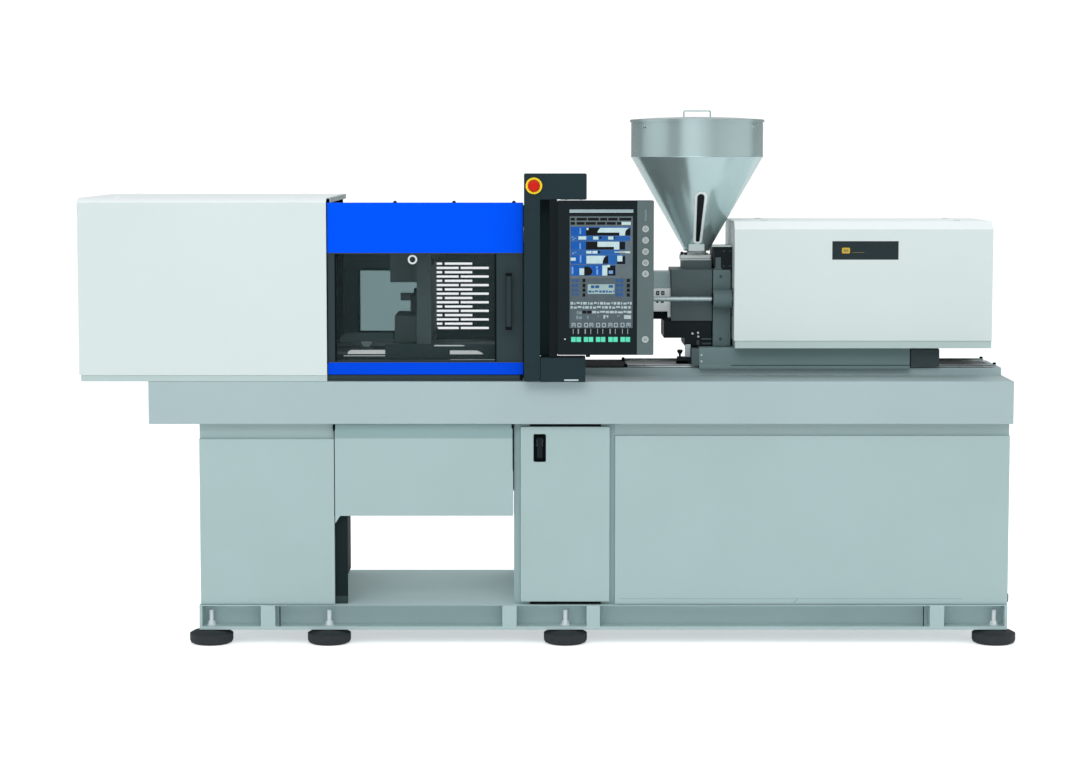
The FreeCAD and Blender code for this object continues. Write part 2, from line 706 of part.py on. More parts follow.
# hinge bar that the panel is screwed to, turning on a pin at each end
size("hinge_x", 10)
size("hinge_y", -427)
node("hinge_bar", fuse([
    box(-4, 25, -445, -413, 1068, 1638),
    cyl("z", "hinge_x", "hinge_y", 1050, 8, 20),
    cyl("z", "hinge_x", "hinge_y", 1636, 8, 20),
]))
# panel housing with rounded edges and a shallow seat for the screen
size("hmi_x0", 25)
size("hmi_x1", 374)
size("hmi_yf", -450)
size("hmi_yr", -405)
size("hmi_z0", 1076)
size("hmi_z1", 1636)
hb = body("panel_housing_body")
sk = sketch(hb, "XZ_Plane", "0 - hmi_yr")
outline(sk, rect("hmi_x0", "hmi_x1", "hmi_z0", "hmi_z1"))
pad(hb, sk, "hmi_yr - hmi_yf - 4")
size("scr_x0", 69)
size("scr_x1", 298)
size("scr_z0", 1174)
size("scr_z1", 1580)
hh = cut(hb, [
    box("scr_x0", "scr_x1", "hmi_yf - 5", "hmi_yf + 9", "scr_z0", "scr_z1"),
])
hr = fillet(hh, 5, lambda e: along(e, "y") and (mid(e).x < V["hmi_x0"] + 1 or mid(e).x > V["hmi_x1"] - 1))
bezel = cut(fillet(box("hmi_x0 + 1", 313, "hmi_yf", "hmi_yf + 5", "hmi_z0 + 1", "hmi_z1 - 1"), 4, lambda e: along(e, "y") and mid(e).x < V["hmi_x0"] + 3), [
    box("scr_x0", "scr_x1", "hmi_yf - 5", "hmi_yf + 9", "scr_z0", "scr_z1")])
node("panel_housing", fuse([hr, bezel]))
node("panel_screen", box("scr_x0", "scr_x1", "hmi_yf + 1", "hmi_yf + 9", "scr_z0", "scr_z1"))
# key strip on the right with a round seat for each key
KEYS = [1533.5, 1492.6, 1451.7, 1411, 1371, 1133]
strip = fillet(box(314, "hmi_x1 - 1", "hmi_yf", "hmi_yf + 4", "hmi_z0 + 1", "hmi_z1 - 1"), 4, lambda e: along(e, "y") and mid(e).x > V["hmi_x1"] - 3)
node("key_strip", cut(strip, [cyl("y", 344, "hmi_yf - 5", z, 12.8, 20) for z in KEYS]))
node("round_keys", group([cyl("y", 344, "hmi_yf - 1.5", z, 12.4, 3.4) for z in KEYS]))
# flat keys in five pairs under the screen
size("key_z0", 1124)
size("key_z1", 1142)
flat = []
for a, c in ((75, 111), (121, 155), (165, 199), (210, 244), (254, 289)):
    m = (a + c) / 2.0
    flat.append(box(a, m - 1, "hmi_yf - 1.2", "hmi_yf", "key_z0", "key_z1"))
    flat.append(box(m + 1, c, "hmi_yf - 1.2", "hmi_yf", "key_z0", "key_z1"))
node("flat_keys", group(flat))
# emergency stop on the post's head: a collar and a mushroom button on a stem
size("estop_x", -60)
size("estop_z", 1689)
node("estop_collar", cut(cyl("y", "estop_x", "post_yf - 4", "estop_z", 30, 4), [cyl("y", "estop_x", "post_yf - 10", "estop_z", 12, 20)]))
eb = body("estop_body")
sk = sketch(eb, "XY_Plane", 0)
outline(sk, [(0, 0), (11.5, 0), (11.5, 27), (18, 27), (21, 30), (21, 38), (18, 42), (10, 44), (0, 44.5)])
er = eb.newObject("PartDesign::Revolution", oname("Revolution"))
er.Profile = sk
er.ReferenceAxis = (sk, ["V_Axis"])
er.Angle = 360
eb.Tip = er
eb.Placement = Placement(Vector(-60, -430.5, 1689), Rotation(Vector(0, 0, 1), 180))
bind(eb, "Placement.Base.x", "estop_x")
bind(eb, "Placement.Base.z", "estop_z")
node("estop_button", eb)

# ---- injection unit ----
size("guide_dy", 140)
size("guide_z1", 1015)
# two profile rails with waisted sides, on the raised base
rails = []
for s in (-1, 1):
    b = body(oname("rail"))
    sk = sketch(b, "YZ_Plane", 290)
    c = "yc + %d * guide_dy" % s
    outline(sk, [(c + " - 11.5", "rail_base_z"), (c + " + 11.5", "rail_base_z"), (c + " + 11.5", "rail_base_z + 3"), (c + " + 9.5", "rail_base_z + 5"), (c + " + 11.5", "rail_base_z + 7"), (c + " + 11.5", "guide_z1"), (c + " - 11.5", "guide_z1"), (c + " - 11.5", "rail_base_z + 7"), (c + " - 9.5", "rail_base_z + 5"), (c + " - 11.5", "rail_base_z + 3")])
    pad(b, sk, 1384)
    rails.append(b)
node("linear_rails", group(rails))

# carriage: a thick plate on four bearing blocks, with an end block at the right
size("car_x0", 529)
size("car_x1", 1456)
size("car_z0", 1040)
size("car_z1", 1079)
blocks = [box("car_x0", "car_x1", "yc - 165", "yc + 165", "car_z0", "car_z1")]
for x0 in (560, 1240):
    for s in (-1, 1):
        blocks.append(box(x0, x0 + 90, "yc + %d * guide_dy - 24" % s, "yc + %d * guide_dy + 24" % s, 1007, "car_z0 + 1"))
blocks.append(box(1349, "car_x1", "yc - 188", "yc + 188", 1010, "car_z1 - 4"))
slots = []
for s in (-1, 1):
    slots.append(box(500, 1500, "yc + %d * guide_dy - 11.9" % s, "yc + %d * guide_dy + 11.9" % s, 1000, "guide_z1 + 0.4"))
node("carriage", cut(fuse(blocks), slots))

# skirt over the carriage, with a lip along its lower edge
size("skirt_x0", 557)
size("skirt_x1", 1345)
kb = body("skirt_body")
sk = sketch(kb, "YZ_Plane", "skirt_x0")
outline(sk, [("yc - 195", 1002), ("yc - 190", 1000), ("yc - 190", "car_z1"), ("yc + 190", "car_z1"), ("yc + 190", 1000), ("yc + 195", 1002), ("yc + 195", 1014), ("yc + 192", 1017), ("yc + 192", "car_z1 + 3"), ("yc - 192", "car_z1 + 3"), ("yc - 192", 1017), ("yc - 195", 1014)])
pad(kb, sk, "skirt_x1 - skirt_x0")
node("carriage_skirt", kb)

# injection cover: folded sheet with a bevel along both top edges, closed ends,
# a set-back lower edge and a shallow seat for the status window
size("inj_x0", 683)
size("inj_x1", 1641)
size("inj_y0", -225)
size("inj_y1", 275)
size("inj_z0", 1083)
size("inj_z1", 1554)
def hood(i, zb):
    return [("inj_y0 + %g" % i, zb), ("inj_y0 + %g" % i, "inj_z1 - 29 - %g" % (i * 0.45)), ("inj_y0 + 32 + %g" % (i * 0.45), "inj_z1 - %g" % i),
            ("inj_y1 - 32 - %g" % (i * 0.45), "inj_z1 - %g" % i), ("inj_y1 - %g" % i, "inj_z1 - 29 - %g" % (i * 0.45)), ("inj_y1 - %g" % i, zb)]
ib = body("injection_cover_body")
sk = sketch(ib, "YZ_Plane", "inj_x0")
outline(sk, hood(0, 1111))
pad(ib, sk, "inj_x1 - inj_x0")
foot_i = box("inj_x0 + 4", "inj_x1 - 1", "inj_y0 + 4", "inj_y1 - 4", "inj_z0", 1112)
ih = body("injection_hollow_body")
sk = sketch(ih, "YZ_Plane", "inj_x0 + 7")
outline(sk, hood(7, 1070))
pad(ih, sk, "inj_x1 - inj_x0 - 14")
icut = cut(fuse([ib, foot_i]), [ih,
    box(1044, 1291, "inj_y0 - 5", "inj_y0 + 2", 1412, 1482),
    cyl("x", "inj_x0 - 5", "yc - 165", "zc", 14, 20),
    cyl("x", "inj_x0 - 5", "yc + 165", "zc", 14, 20),
    cyl("x", "inj_x0 - 5", "yc", "zc", 30, 20)])
node("injection_cover", icut)

# front plate with the two rod housings that the pull rods run in
size("rod_dy", 165)
size("rod_r", 9)
node("front_plate", cut(fuse([
    box(611, 677, "yc - 140", "yc + 140", "inj_z0", 1370),
    cyl("x", 609, "yc - rod_dy", "zc", 36, 70),
    cyl("x", 609, "yc + rod_dy", "zc", 36, 70),
]), [
    cyl("x", 600, "yc - rod_dy", "zc", "rod_r + 0.06", 100),
    cyl("x", 600, "yc + rod_dy", "zc", "rod_r + 0.06", 100),
    cyl("x", 600, "yc", "zc", 14, 100),
]))
node("drive_cowl", fillet(box(615, 681, "yc - 130", "yc + 130", 1371, 1455), 6, lambda e: along(e, "x") and mid(e).z > 1400))
# pull rods from the fixed platen
node("pull_rods", group([fuse([cyl("x", "fix_x1", y, "zc", "rod_r", 970), prism("x", "fix_x1", y, "zc", 17, 16)]) for y in ("yc - rod_dy", "yc + rod_dy")]))

# feed housing with the throat under the hopper
size("hop_x", 556)
node("feed_housing", cut(fuse([
    box(456, 608, "yc - 130", "yc + 130", 1178, 1370),
    box(499, 608, "yc - 80", "yc + 80", 1369, 1401),
]), [cyl("x", 450, "yc", "zc", 14, 200), cyl("z", "hop_x", "yc", "zc", 16, 200)]))
node("feed_support", fuse([
    box(428, 608, "yc - 125", "yc + 125", 1113, 1177),
    box(506, 610, "yc - 125", "yc + 125", "inj_z0", 1114),
]))
# base plate and flange between the feed housing and the hopper
node("hopper_flange", cut(fuse([
    box(494, 607, "yc - 56", "yc + 56", 1402, 1422),
    cyl("z", "hop_x", "yc", 1421, 37, 16),
]), [cyl("z", "hop_x", "yc", 1390, 16, 60)]))

# barrel guard: a folded channel, open below, over the heated barrel
gb = body("barrel_cover_body")
sk = sketch(gb, "YZ_Plane", 104)
def gd(i):
    return [("yc - 105 + %g" % i, 1189), ("yc - 105 + %g" % i, "1298 - %g" % (i * 0.4)), ("yc - 55 + %g" % (i * 0.4), "1358 - %g" % i),
            ("yc + 55 - %g" % (i * 0.4), "1358 - %g" % i), ("yc + 105 - %g" % i, "1298 - %g" % (i * 0.4)), ("yc + 105 - %g" % i, 1189)]
outer_pts = gd(0)
inner_pts = gd(3)
outline(sk, outer_pts + inner_pts[::-1])
pad(gb, sk, 350)
node("barrel_cover", gb)

# barrel with three heater bands and the nozzle, bored for the screw
bb = body("barrel_body")
sk = sketch(bb, "XZ_Plane", "0 - yc")
prof = [(-170, "zc + 2.5"), (-170, "zc + 9"), (-160, "zc + 18"), (-120, "zc + 18"), (-112, "zc + 27"), (-30, "zc + 27"), (-30, "zc + 46"), (20, "zc + 46"), (20, "zc + 40"),
        (60, "zc + 40"), (60, "zc + 47"), (160, "zc + 47"), (160, "zc + 40"), (180, "zc + 40"), (180, "zc + 47"), (290, "zc + 47"), (290, "zc + 40"), (310, "zc + 40"), (310, "zc + 47"), (420, "zc + 47"), (420, "zc + 40"), (455.5, "zc + 40"), (455.5, "zc + 12.56"), (-118, "zc + 12.56"), (-150, "zc + 2.5")]
outline(sk, prof)
ax = sk.addGeometry(Part.LineSegment(Vector(-200, V["zc"], 0), Vector(500, V["zc"], 0)), True)
k = sk.addConstraint(Sketcher.Constraint("DistanceY", -1, 1, ax, 1, V["zc"]))
sk.setExpression("Constraints[%d]" % k, "Sizes.zc")
k = sk.addConstraint(Sketcher.Constraint("DistanceY", -1, 1, ax, 2, V["zc"]))
sk.setExpression("Constraints[%d]" % k, "Sizes.zc")
rv = bb.newObject("PartDesign::Revolution", oname("Revolution"))
rv.Profile = sk
rv.ReferenceAxis = (sk, ["Axis0"])
rv.Angle = 360
bb.Tip = rv
node("barrel", bb)

# feed screw: its working length fills the bore, a thinner shank runs back to
# the drive plate
node("feed_screw", fuse([
    cone("x", -134, "yc", "zc", 3, 12.5, 18),
    cyl("x", -116, "yc", "zc", 12.5, 520),
    cyl("x", 403, "yc", "zc", 11, 420),
]))
# drive plate with the screw's bearing, behind the front plate
node("injection_drive", cut(fuse([
    box(760, 800, "yc - 140", "yc + 140", "inj_z0 + 1", 1400),
    cyl("x", 799, "yc", "zc", 60, 60),
    box(800, 960, "yc - 75", "yc + 75", 1290, 1440),
]), [cyl("x", 750, "yc", "zc", 11.05, 120)]))

# hopper: a spun sheet cone and cylinder with a rolled rim
size("hop_z0", 1437)
size("hop_z1", 1792)
size("hop_z2", 1926)
size("hop_r", 249)
hpb = body("hopper_body")
sk = sketch(hpb, "XZ_Plane", 0)
outline(sk, [(46, "hop_z0"), (50, "hop_z0"), (50, "hop_z0 + 6"), ("hop_r", "hop_z1"), ("hop_r", "hop_z2 - 4"), ("hop_r + 5", "hop_z2 - 4"), ("hop_r + 5", "hop_z2 + 4"), ("hop_r - 2", "hop_z2 + 4"), ("hop_r - 2", "hop_z1 + 0.6"), (46, "hop_z0 + 4")])
revolve(hpb, sk)
place(hpb, "hop_x", "yc", 0)
node("hopper", hpb)
lb = body("lid_body")
sk = sketch(lb, "XZ_Plane", 0)
outline(sk, [(0, "hop_z2 + 16"), (60, "hop_z2 + 15.4"), (160, "hop_z2 + 12"), ("hop_r + 1", "hop_z2 + 6"), ("hop_r + 1", "hop_z2 + 4.1"), (160, "hop_z2 + 10"), (60, "hop_z2 + 13.4"), (0, "hop_z2 + 14")])
revolve(lb, sk)
place(lb, "hop_x", "yc", 0)
hx0, hx1, hz = V["hop_x"] - 50, V["hop_x"] + 50, V["hop_z2"]
pts = [Vector(hx0, V["yc"], hz + 13), Vector(hx0, V["yc"], hz + 35), Vector(hx0 + 3.5, V["yc"], hz + 38.5), Vector(hx1 - 3.5, V["yc"], hz + 38.5), Vector(hx1, V["yc"], hz + 35), Vector(hx1, V["yc"], hz + 13)]
wire = doc.addObject("Part::Feature", "handle_wire")
segs = []
for a, c in zip(pts[:-1], pts[1:]):
    d = c - a
    seg = Part.makeCylinder(2.5, d.Length, a, d)
    segs.append(seg)
    segs.append(Part.makeSphere(2.5, c))
whole = segs[0]
for q in segs[1:-1]:
    whole = whole.fuse(q)
wire.Shape = whole.removeSplitter()
node("hopper_lid", fuse([lb, wire]))

doc.recompute()
for o in doc.Objects:
    bad = [w for w in o.State if w in ("Invalid", "Error")]
    assert not bad, (o.Name, o.Label, o.State)
box_all = FreeCAD.BoundBox()
for o in NODES:
    s = o.Shape
    assert not s.isNull() and s.isValid() and s.Solids, o.Label
    box_all.add(s.BoundBox)
    print("%-24s solids %2d  x %8.1f %8.1f  y %7.1f %7.1f  z %7.1f %7.1f  vol %9.0f cm3" % (
        o.Label, len(s.Solids), s.BoundBox.XMin, s.BoundBox.XMax, s.BoundBox.YMin, s.BoundBox.YMax, s.BoundBox.ZMin, s.BoundBox.ZMax, s.Volume / 1000.0))
print("overall", box_all, len(NODES))
assert len(set(o.Label for o in NODES)) == len(NODES) <= 60
assert abs(box_all.Center.x) < 2 and abs(box_all.Center.y) < 2 and abs(box_all.ZMin) < 0.01, box_all

os.makedirs("parts", exist_ok=True)
for o in NODES:
    o.Shape.exportStep("parts/%s.step" % o.Label)
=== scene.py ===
import bpy
import bmesh
import math
from mathutils import Vector, Matrix


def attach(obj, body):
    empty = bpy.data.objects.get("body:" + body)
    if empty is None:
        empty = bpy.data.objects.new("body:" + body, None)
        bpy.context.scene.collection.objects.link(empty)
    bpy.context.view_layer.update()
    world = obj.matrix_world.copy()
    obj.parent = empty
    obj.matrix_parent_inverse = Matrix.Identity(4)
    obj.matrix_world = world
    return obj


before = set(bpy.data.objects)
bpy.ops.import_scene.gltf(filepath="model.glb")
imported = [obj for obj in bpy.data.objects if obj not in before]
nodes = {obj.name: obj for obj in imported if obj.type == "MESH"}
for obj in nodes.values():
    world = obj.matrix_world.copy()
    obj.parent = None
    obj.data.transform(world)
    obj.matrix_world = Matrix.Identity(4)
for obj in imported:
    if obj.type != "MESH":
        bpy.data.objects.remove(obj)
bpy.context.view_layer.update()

scene = bpy.context.scene
YC = 0.025
ZC = 1.262


def lin(c):
    c = c / 255.0
    return c / 12.92 if c <= 0.04045 else ((c + 0.055) / 1.055) ** 2.4


def rgb(r, g, b):
    return (lin(r), lin(g), lin(b), 1.0)


# ------------------------------------------------------------------ materials
MATS = {}


def new_mat(name):
    m = bpy.data.materials.new(name)
    m.use_nodes = True
    t = m.node_tree
    p = t.nodes["Principled BSDF"]
    MATS[name] = m
    return m, t, p


def coords(t, scale=(1, 1, 1)):
    tc = t.nodes.new("ShaderNodeTexCoord")
    mp = t.nodes.new("ShaderNodeMapping")
    mp.inputs["Scale"].default_value = scale
    t.links.new(tc.outputs["Object"], mp.inputs["Vector"])
    return mp.outputs["Vector"]


def noise(t, vec, scale, detail=2.0, rough=0.5):
    n = t.nodes.new("ShaderNodeTexNoise")
    n.inputs["Scale"].default_value = scale
    n.inputs["Detail"].default_value = detail
    n.inputs["Roughness"].default_value = rough
    t.links.new(vec, n.inputs["Vector"])
    return n.outputs["Fac"]


def ramp(t, fac, a, b, lo=0.35, hi=0.65):
    r = t.nodes.new("ShaderNodeValToRGB")
    r.color_ramp.elements[0].position = lo
    r.color_ramp.elements[0].color = a
    r.color_ramp.elements[1].position = hi
    r.color_ramp.elements[1].color = b
    t.links.new(fac, r.inputs["Fac"])
    return r.outputs["Color"]


def spread(t, fac, lo, hi):
    r = t.nodes.new("ShaderNodeMapRange")
    r.inputs["From Min"].default_value = 0.3
    r.inputs["From Max"].default_value = 0.7
    r.inputs["To Min"].default_value = lo
    r.inputs["To Max"].default_value = hi
    t.links.new(fac, r.inputs["Value"])
    return r.outputs["Result"]


def bump(t, fac, strength, distance, p, below=None):
    b = t.nodes.new("ShaderNodeBump")
    b.inputs["Strength"].default_value = strength
    b.inputs["Distance"].default_value = distance
    t.links.new(fac, b.inputs["Height"])
    if below is not None:
        t.links.new(below, b.inputs["Normal"])
    t.links.new(b.outputs["Normal"], p.inputs["Normal"])
    return b.outputs["Normal"]


def shade(c, k):
    return (min(c[0] * k, 1.0), min(c[1] * k, 1.0), min(c[2] * k, 1.0), 1.0)


def powder(name, col, rough=0.42, vary=0.02, peel=0.10, grain=420.0, spec=0.22, coat=0.0):
    # powder coat: a faint orange peel, a slow drift of tone and of gloss
    m, t, p = new_mat(name)
    v = coords(t)
    slow = noise(t, v, 1.7, 3.0)
    t.links.new(ramp(t, slow, shade(col, 1 - vary), shade(col, 1 + vary)), p.inputs["Base Color"])
    t.links.new(spread(t, noise(t, v, 14.0, 3.0), rough - 0.03, rough + 0.04), p.inputs["Roughness"])
    n1 = bump(t, noise(t, v, grain, 2.0), peel, 0.0004, p)
    bump(t, noise(t, v, 34.0, 1.0), peel * 0.35, 0.0012, p, n1)
    p.inputs["Specular IOR Level"].default_value = spec
    if coat:
        p.inputs["Coat Weight"].default_value = coat
        p.inputs["Coat Roughness"].default_value = 0.12
    return m


def plastic(name, col, rough=0.5, vary=0.04, grain=900.0, depth=0.12, spec=0.4):
    m, t, p = new_mat(name)
    v = coords(t)
    t.links.new(ramp(t, noise(t, v, 6.0, 3.0), shade(col, 1 - vary), shade(col, 1 + vary)), p.inputs["Base Color"])
    t.links.new(spread(t, noise(t, v, 60.0, 2.0), rough - 0.05, rough + 0.05), p.inputs["Roughness"])
    bump(t, noise(t, v, grain, 2.0), depth, 0.0003, p)
    p.inputs["Specular IOR Level"].default_value = spec
    return m


def metal(name, col, rough=0.3, brush=(1, 1, 60), vary=0.06, depth=0.08, metallic=1.0):
    # brushed or turned metal: fine lines drawn out along one direction
    m, t, p = new_mat(name)
    v = coords(t, brush)
    lines = noise(t, v, 30.0, 4.0, 0.6)
    t.links.new(ramp(t, lines, shade(col, 1 - vary), shade(col, 1 + vary)), p.inputs["Base Color"])
    t.links.new(spread(t, lines, rough - 0.06, rough + 0.08), p.inputs["Roughness"])
    bump(t, lines, depth, 0.0002, p)
    p.inputs["Metallic"].default_value = metallic
    return m


def casting(name, col, rough=0.55):
    # painted casting: a coarser skin under a satin paint
    m, t, p = new_mat(name)
    v = coords(t)
    t.links.new(ramp(t, noise(t, v, 5.0, 5.0), shade(col, 0.93), shade(col, 1.06)), p.inputs["Base Color"])
    t.links.new(spread(t, noise(t, v, 25.0, 3.0), rough - 0.06, rough + 0.06), p.inputs["Roughness"])
    n1 = bump(t, noise(t, v, 160.0, 4.0, 0.6), 0.25, 0.0008, p)
    bump(t, noise(t, v, 22.0, 2.0), 0.12, 0.002, p, n1)
    p.inputs["Specular IOR Level"].default_value = 0.4
    return m


def pane(name, col, alpha, rough=0.06, spec=0.5):
    m, t, p = new_mat(name)
    v = coords(t)
    t.links.new(ramp(t, noise(t, v, 3.0, 2.0), shade(col, 0.97), shade(col, 1.03)), p.inputs["Base Color"])
    t.links.new(spread(t, noise(t, v, 9.0, 3.0), rough, rough + 0.04), p.inputs["Roughness"])
    p.inputs["Alpha"].default_value = alpha
    p.inputs["Specular IOR Level"].default_value = spec
    return m


def glow(name, col, strength=1.0, rough=0.25):
    # a lit display field under a smooth face; also used as a painted glow on the tray edges
    m, t, p = new_mat(name)
    v = coords(t)
    c = ramp(t, noise(t, v, 40.0, 2.0), shade(col, 0.96), shade(col, 1.04))
    t.links.new(c, p.inputs["Emission Color"])
    t.links.new(ramp(t, noise(t, v, 40.0, 2.0), shade(col, 0.9 * (1 - strength)), shade(col, 1 - strength)), p.inputs["Base Color"])
    p.inputs["Specular IOR Level"].default_value = 0.2
    p.inputs["Emission Strength"].default_value = strength
    p.inputs["Roughness"].default_value = rough
    return m


COVER = powder("cover_white", rgb(216, 227, 226), 0.38, 0.012)
BED = powder("bed_grey", rgb(172, 192, 194), 0.42, 0.02)
CAB = powder("cabinet_grey", rgb(172, 194, 194), 0.45, 0.02)
FRAMEG = powder("frame_grey", rgb(176, 198, 199), 0.5, 0.03)
BLUE = powder("board_blue", rgb(0, 85, 252), 0.45, 0.015, 0.06, spec=0.02)
BLUE_SHADED = powder("board_blue_painted_shade", rgb(4, 74, 228), 0.45, 0.015, 0.06, spec=0.02)
GUARD = powder("guard_pale", rgb(198, 210, 210), 0.42, 0.015)
# a whiter white: painted highlight on the covers' upper faces, and painted light on the barrel guard where the panel
# shades it
COVER_TOP_LIT = powder("cover_top_painted_light", rgb(243, 250, 250), 0.5, 0.01, spec=0.03)
DARK = powder("dark_paint", rgb(48, 63, 66), 0.45, 0.05, 0.14, spec=0.14)
POST = powder("post_paint", rgb(40, 56, 60), 0.6, 0.05, 0.14, spec=0.04)
CAST = casting("casting_paint", rgb(74, 90, 92))
CASTD = casting("casting_dark", rgb(56, 70, 73))
PLATE = casting("plate_paint", rgb(90, 110, 112))
BLACKP = plastic("black_plastic", rgb(20, 30, 34), 0.5, spec=0.14)
PANELB = plastic("panel_black", rgb(30, 38, 41), 0.6, 0.04, 500.0, 0.05, 0.03)
STRIP = plastic("strip_grey", rgb(92, 107, 108), 0.5, 0.03, 700.0, 0.06, 0.2)
BAR = plastic("bar_black", rgb(20, 26, 29), 0.6, 0.04, 500.0, 0.05, 0.08)
FLANGE = powder("flange_pale", rgb(222, 230, 230), 0.45, 0.02)
ROD = powder("rod_grey", rgb(118, 138, 140), 0.5, 0.03)
RODP = metal("rod_bright", rgb(168, 184, 185), 0.3, (60, 1, 1), 0.03, 0.03, 0.6)
TIE = metal("tie_steel", rgb(92, 100, 102), 0.32, (60, 1, 1), 0.04, 0.03)
STUD = plastic("stud_pale", rgb(226, 234, 236), 0.4, 0.03, 500.0, 0.04)
SKIRT = powder("skirt_grey", rgb(117, 140, 141), 0.45, 0.03)
CHROME = metal("bright_steel", rgb(205, 212, 214), 0.16, (60, 1, 1), 0.04, 0.03)
STEEL = metal("machined_steel", rgb(176, 184, 186), 0.3, (40, 40, 1), 0.07, 0.06)
ZINC = metal("zinc_steel", rgb(196, 202, 203), 0.34, (8, 8, 8), 0.05, 0.06)
def satin(name, col, rough=0.24, metallic=0.85):
    # rolled sheet: an even satin face, tone and gloss drifting only slowly
    m, t, p = new_mat(name)
    v = coords(t)
    t.links.new(ramp(t, noise(t, v, 1.6, 1.0), shade(col, 0.985), shade(col, 1.015)), p.inputs["Base Color"])
    t.links.new(spread(t, noise(t, v, 2.2, 1.0), rough - 0.01, rough + 0.02), p.inputs["Roughness"])
    p.inputs["Metallic"].default_value = metallic
    return m


HOPPER = satin("hopper_steel", rgb(190, 212, 212), 0.2, 0.66)
HEATER = metal("heater_steel", rgb(150, 146, 138), 0.42, (2, 2, 30), 0.1, 0.1)
def tinted(name, col, tint_col, share, rough=0.1, spec=0.15):
    # a coloured sheet: what lies behind shows through in its tint
    m, t, p = new_mat(name)
    v = coords(t)
    t.links.new(ramp(t, noise(t, v, 3.0, 2.0), shade(col, 0.97), shade(col, 1.03)), p.inputs["Base Color"])
    t.links.new(spread(t, noise(t, v, 9.0, 3.0), rough, rough + 0.04), p.inputs["Roughness"])
    p.inputs["Specular IOR Level"].default_value = spec
    see = t.nodes.new("ShaderNodeBsdfTransparent")
    see.inputs["Color"].default_value = (tint_col[0], tint_col[1], tint_col[2], 1.0)
    both = t.nodes.new("ShaderNodeMixShader")
    both.inputs["Fac"].default_value = share
    out = [n for n in t.nodes if n.type == "OUTPUT_MATERIAL"][0]
    t.links.new(see.outputs["BSDF"], both.inputs[1])
    t.links.new(p.outputs["BSDF"], both.inputs[2])
    t.links.new(both.outputs["Shader"], out.inputs["Surface"])
    return m


WIN = pane("clear_window", rgb(60, 76, 78), 0.15, 0.06, 0.08)
SMOKE = tinted("smoked_window", rgb(70, 92, 94), (0.50, 0.60, 0.605), 0.12)
SIGHT = pane("sight_glass", rgb(12, 18, 22), 0.97, 0.12, 0.15)
PADB = plastic("pad_black", rgb(40, 45, 48), 0.62, 0.06, 260.0, 0.3)
KEYG = plastic("key_light", rgb(172, 182, 182), 0.4, 0.03, 900.0, 0.05)
YEL = plastic("stop_yellow", rgb(255, 226, 44), 0.4, 0.03, 900.0, 0.05, 0.25)
RED = plastic("stop_red", rgb(206, 24, 8), 0.4, 0.03, 700.0, 0.04, 0.2)
TRIM = plastic("trim_white", rgb(228, 234, 234), 0.4, 0.02, 800.0, 0.05)
SEAM = plastic("seam_dark", rgb(58, 72, 74), 0.7, 0.05, 400.0, 0.1)
# near-black rubber for real seals and caps, also used as painted shade on the covers' inner faces
RUBBER_AND_SHADE = plastic("seal_rubber_and_painted_shade", rgb(14, 19, 21), 0.8, 0.05, 300.0, 0.2, 0.06)
SCREEN = glow("screen_field", rgb(84, 101, 107), 0.25, 0.12)
GREEN = glow("key_green", rgb(96, 226, 188), 0.25, 0.35)

WEAR = {
    "levelling_pads": PADB, "levelling_studs": STUD, "base_frame": FRAMEG, "bed": BED, "left_cabinet": CAB,
    "right_cabinet": CAB, "left_panel": CAB, "right_panel": CAB, "chute_cover_front": CAB, "chute_cover_rear": CAB,
    "cabinet_door": CAB, "door_latch": BLACKP, "clamp_cover": COVER, "top_guard": GUARD, "door_tracks": DARK,
    "front_door_frame": DARK, "front_door_boards": BLUE, "front_door_window": WIN, "front_door_handle": BLACKP,
    "rear_door": DARK, "rear_door_window": SMOKE, "rear_door_handle": BLACKP, "fixed_platen": CAST,
    "tie_bars": TIE, "moving_platen": CAST, "ejector_rod": ROD, "tail_stock": CAST, "clamp_motor": BLACKP,
    "clamp_screw": STEEL, "crosshead": CASTD, "toggle_rear_upper": CASTD, "toggle_front_upper": CASTD,
    "toggle_rear_lower": CASTD, "toggle_front_lower": CASTD, "panel_post": POST, "panel_foot": POST,
    "hinge_bar": BAR, "panel_housing": PANELB, "panel_screen": SCREEN, "key_strip": STRIP, "round_keys": KEYG,
    "flat_keys": GREEN, "estop_collar": YEL, "estop_button": RED, "linear_rails": STEEL, "carriage": CASTD,
    "carriage_skirt": SKIRT, "injection_cover": COVER, "front_plate": PLATE, "drive_cowl": BLACKP,
    "pull_rods": RODP, "feed_housing": CAST, "feed_support": BLACKP, "hopper_flange": FLANGE,
    # barrel_cover takes the whiter cover top: painted light against the panel's shade
    "barrel_cover": COVER_TOP_LIT, "barrel": HEATER, "feed_screw": STEEL, "injection_drive": CASTD, "hopper": HOPPER,
    "hopper_lid": HOPPER,
}
EDGE = {"bed": 3.0, "clamp_cover": 2.0, "injection_cover": 2.5, "base_frame": 1.2, "panel_post": 0.5, "panel_foot": 0.4,
        "feed_housing": 4.0, "front_plate": 3.0, "moving_platen": 3.0, "fixed_platen": 3.0, "tail_stock": 3.0,
        "drive_cowl": 4.0, "feed_support": 3.0, "estop_button": 1.5, "round_keys": 0.5, "flat_keys": 0.4,
        "panel_screen": 0.0, "front_door_window": 0.0, "rear_door_window": 0.0, "hopper": 0.0, "barrel": 0.6,
        "levelling_pads": 2.0, "carriage_skirt": 0.8, "key_strip": 0.4, "hinge_bar": 0.6, "panel_housing": 0.5}


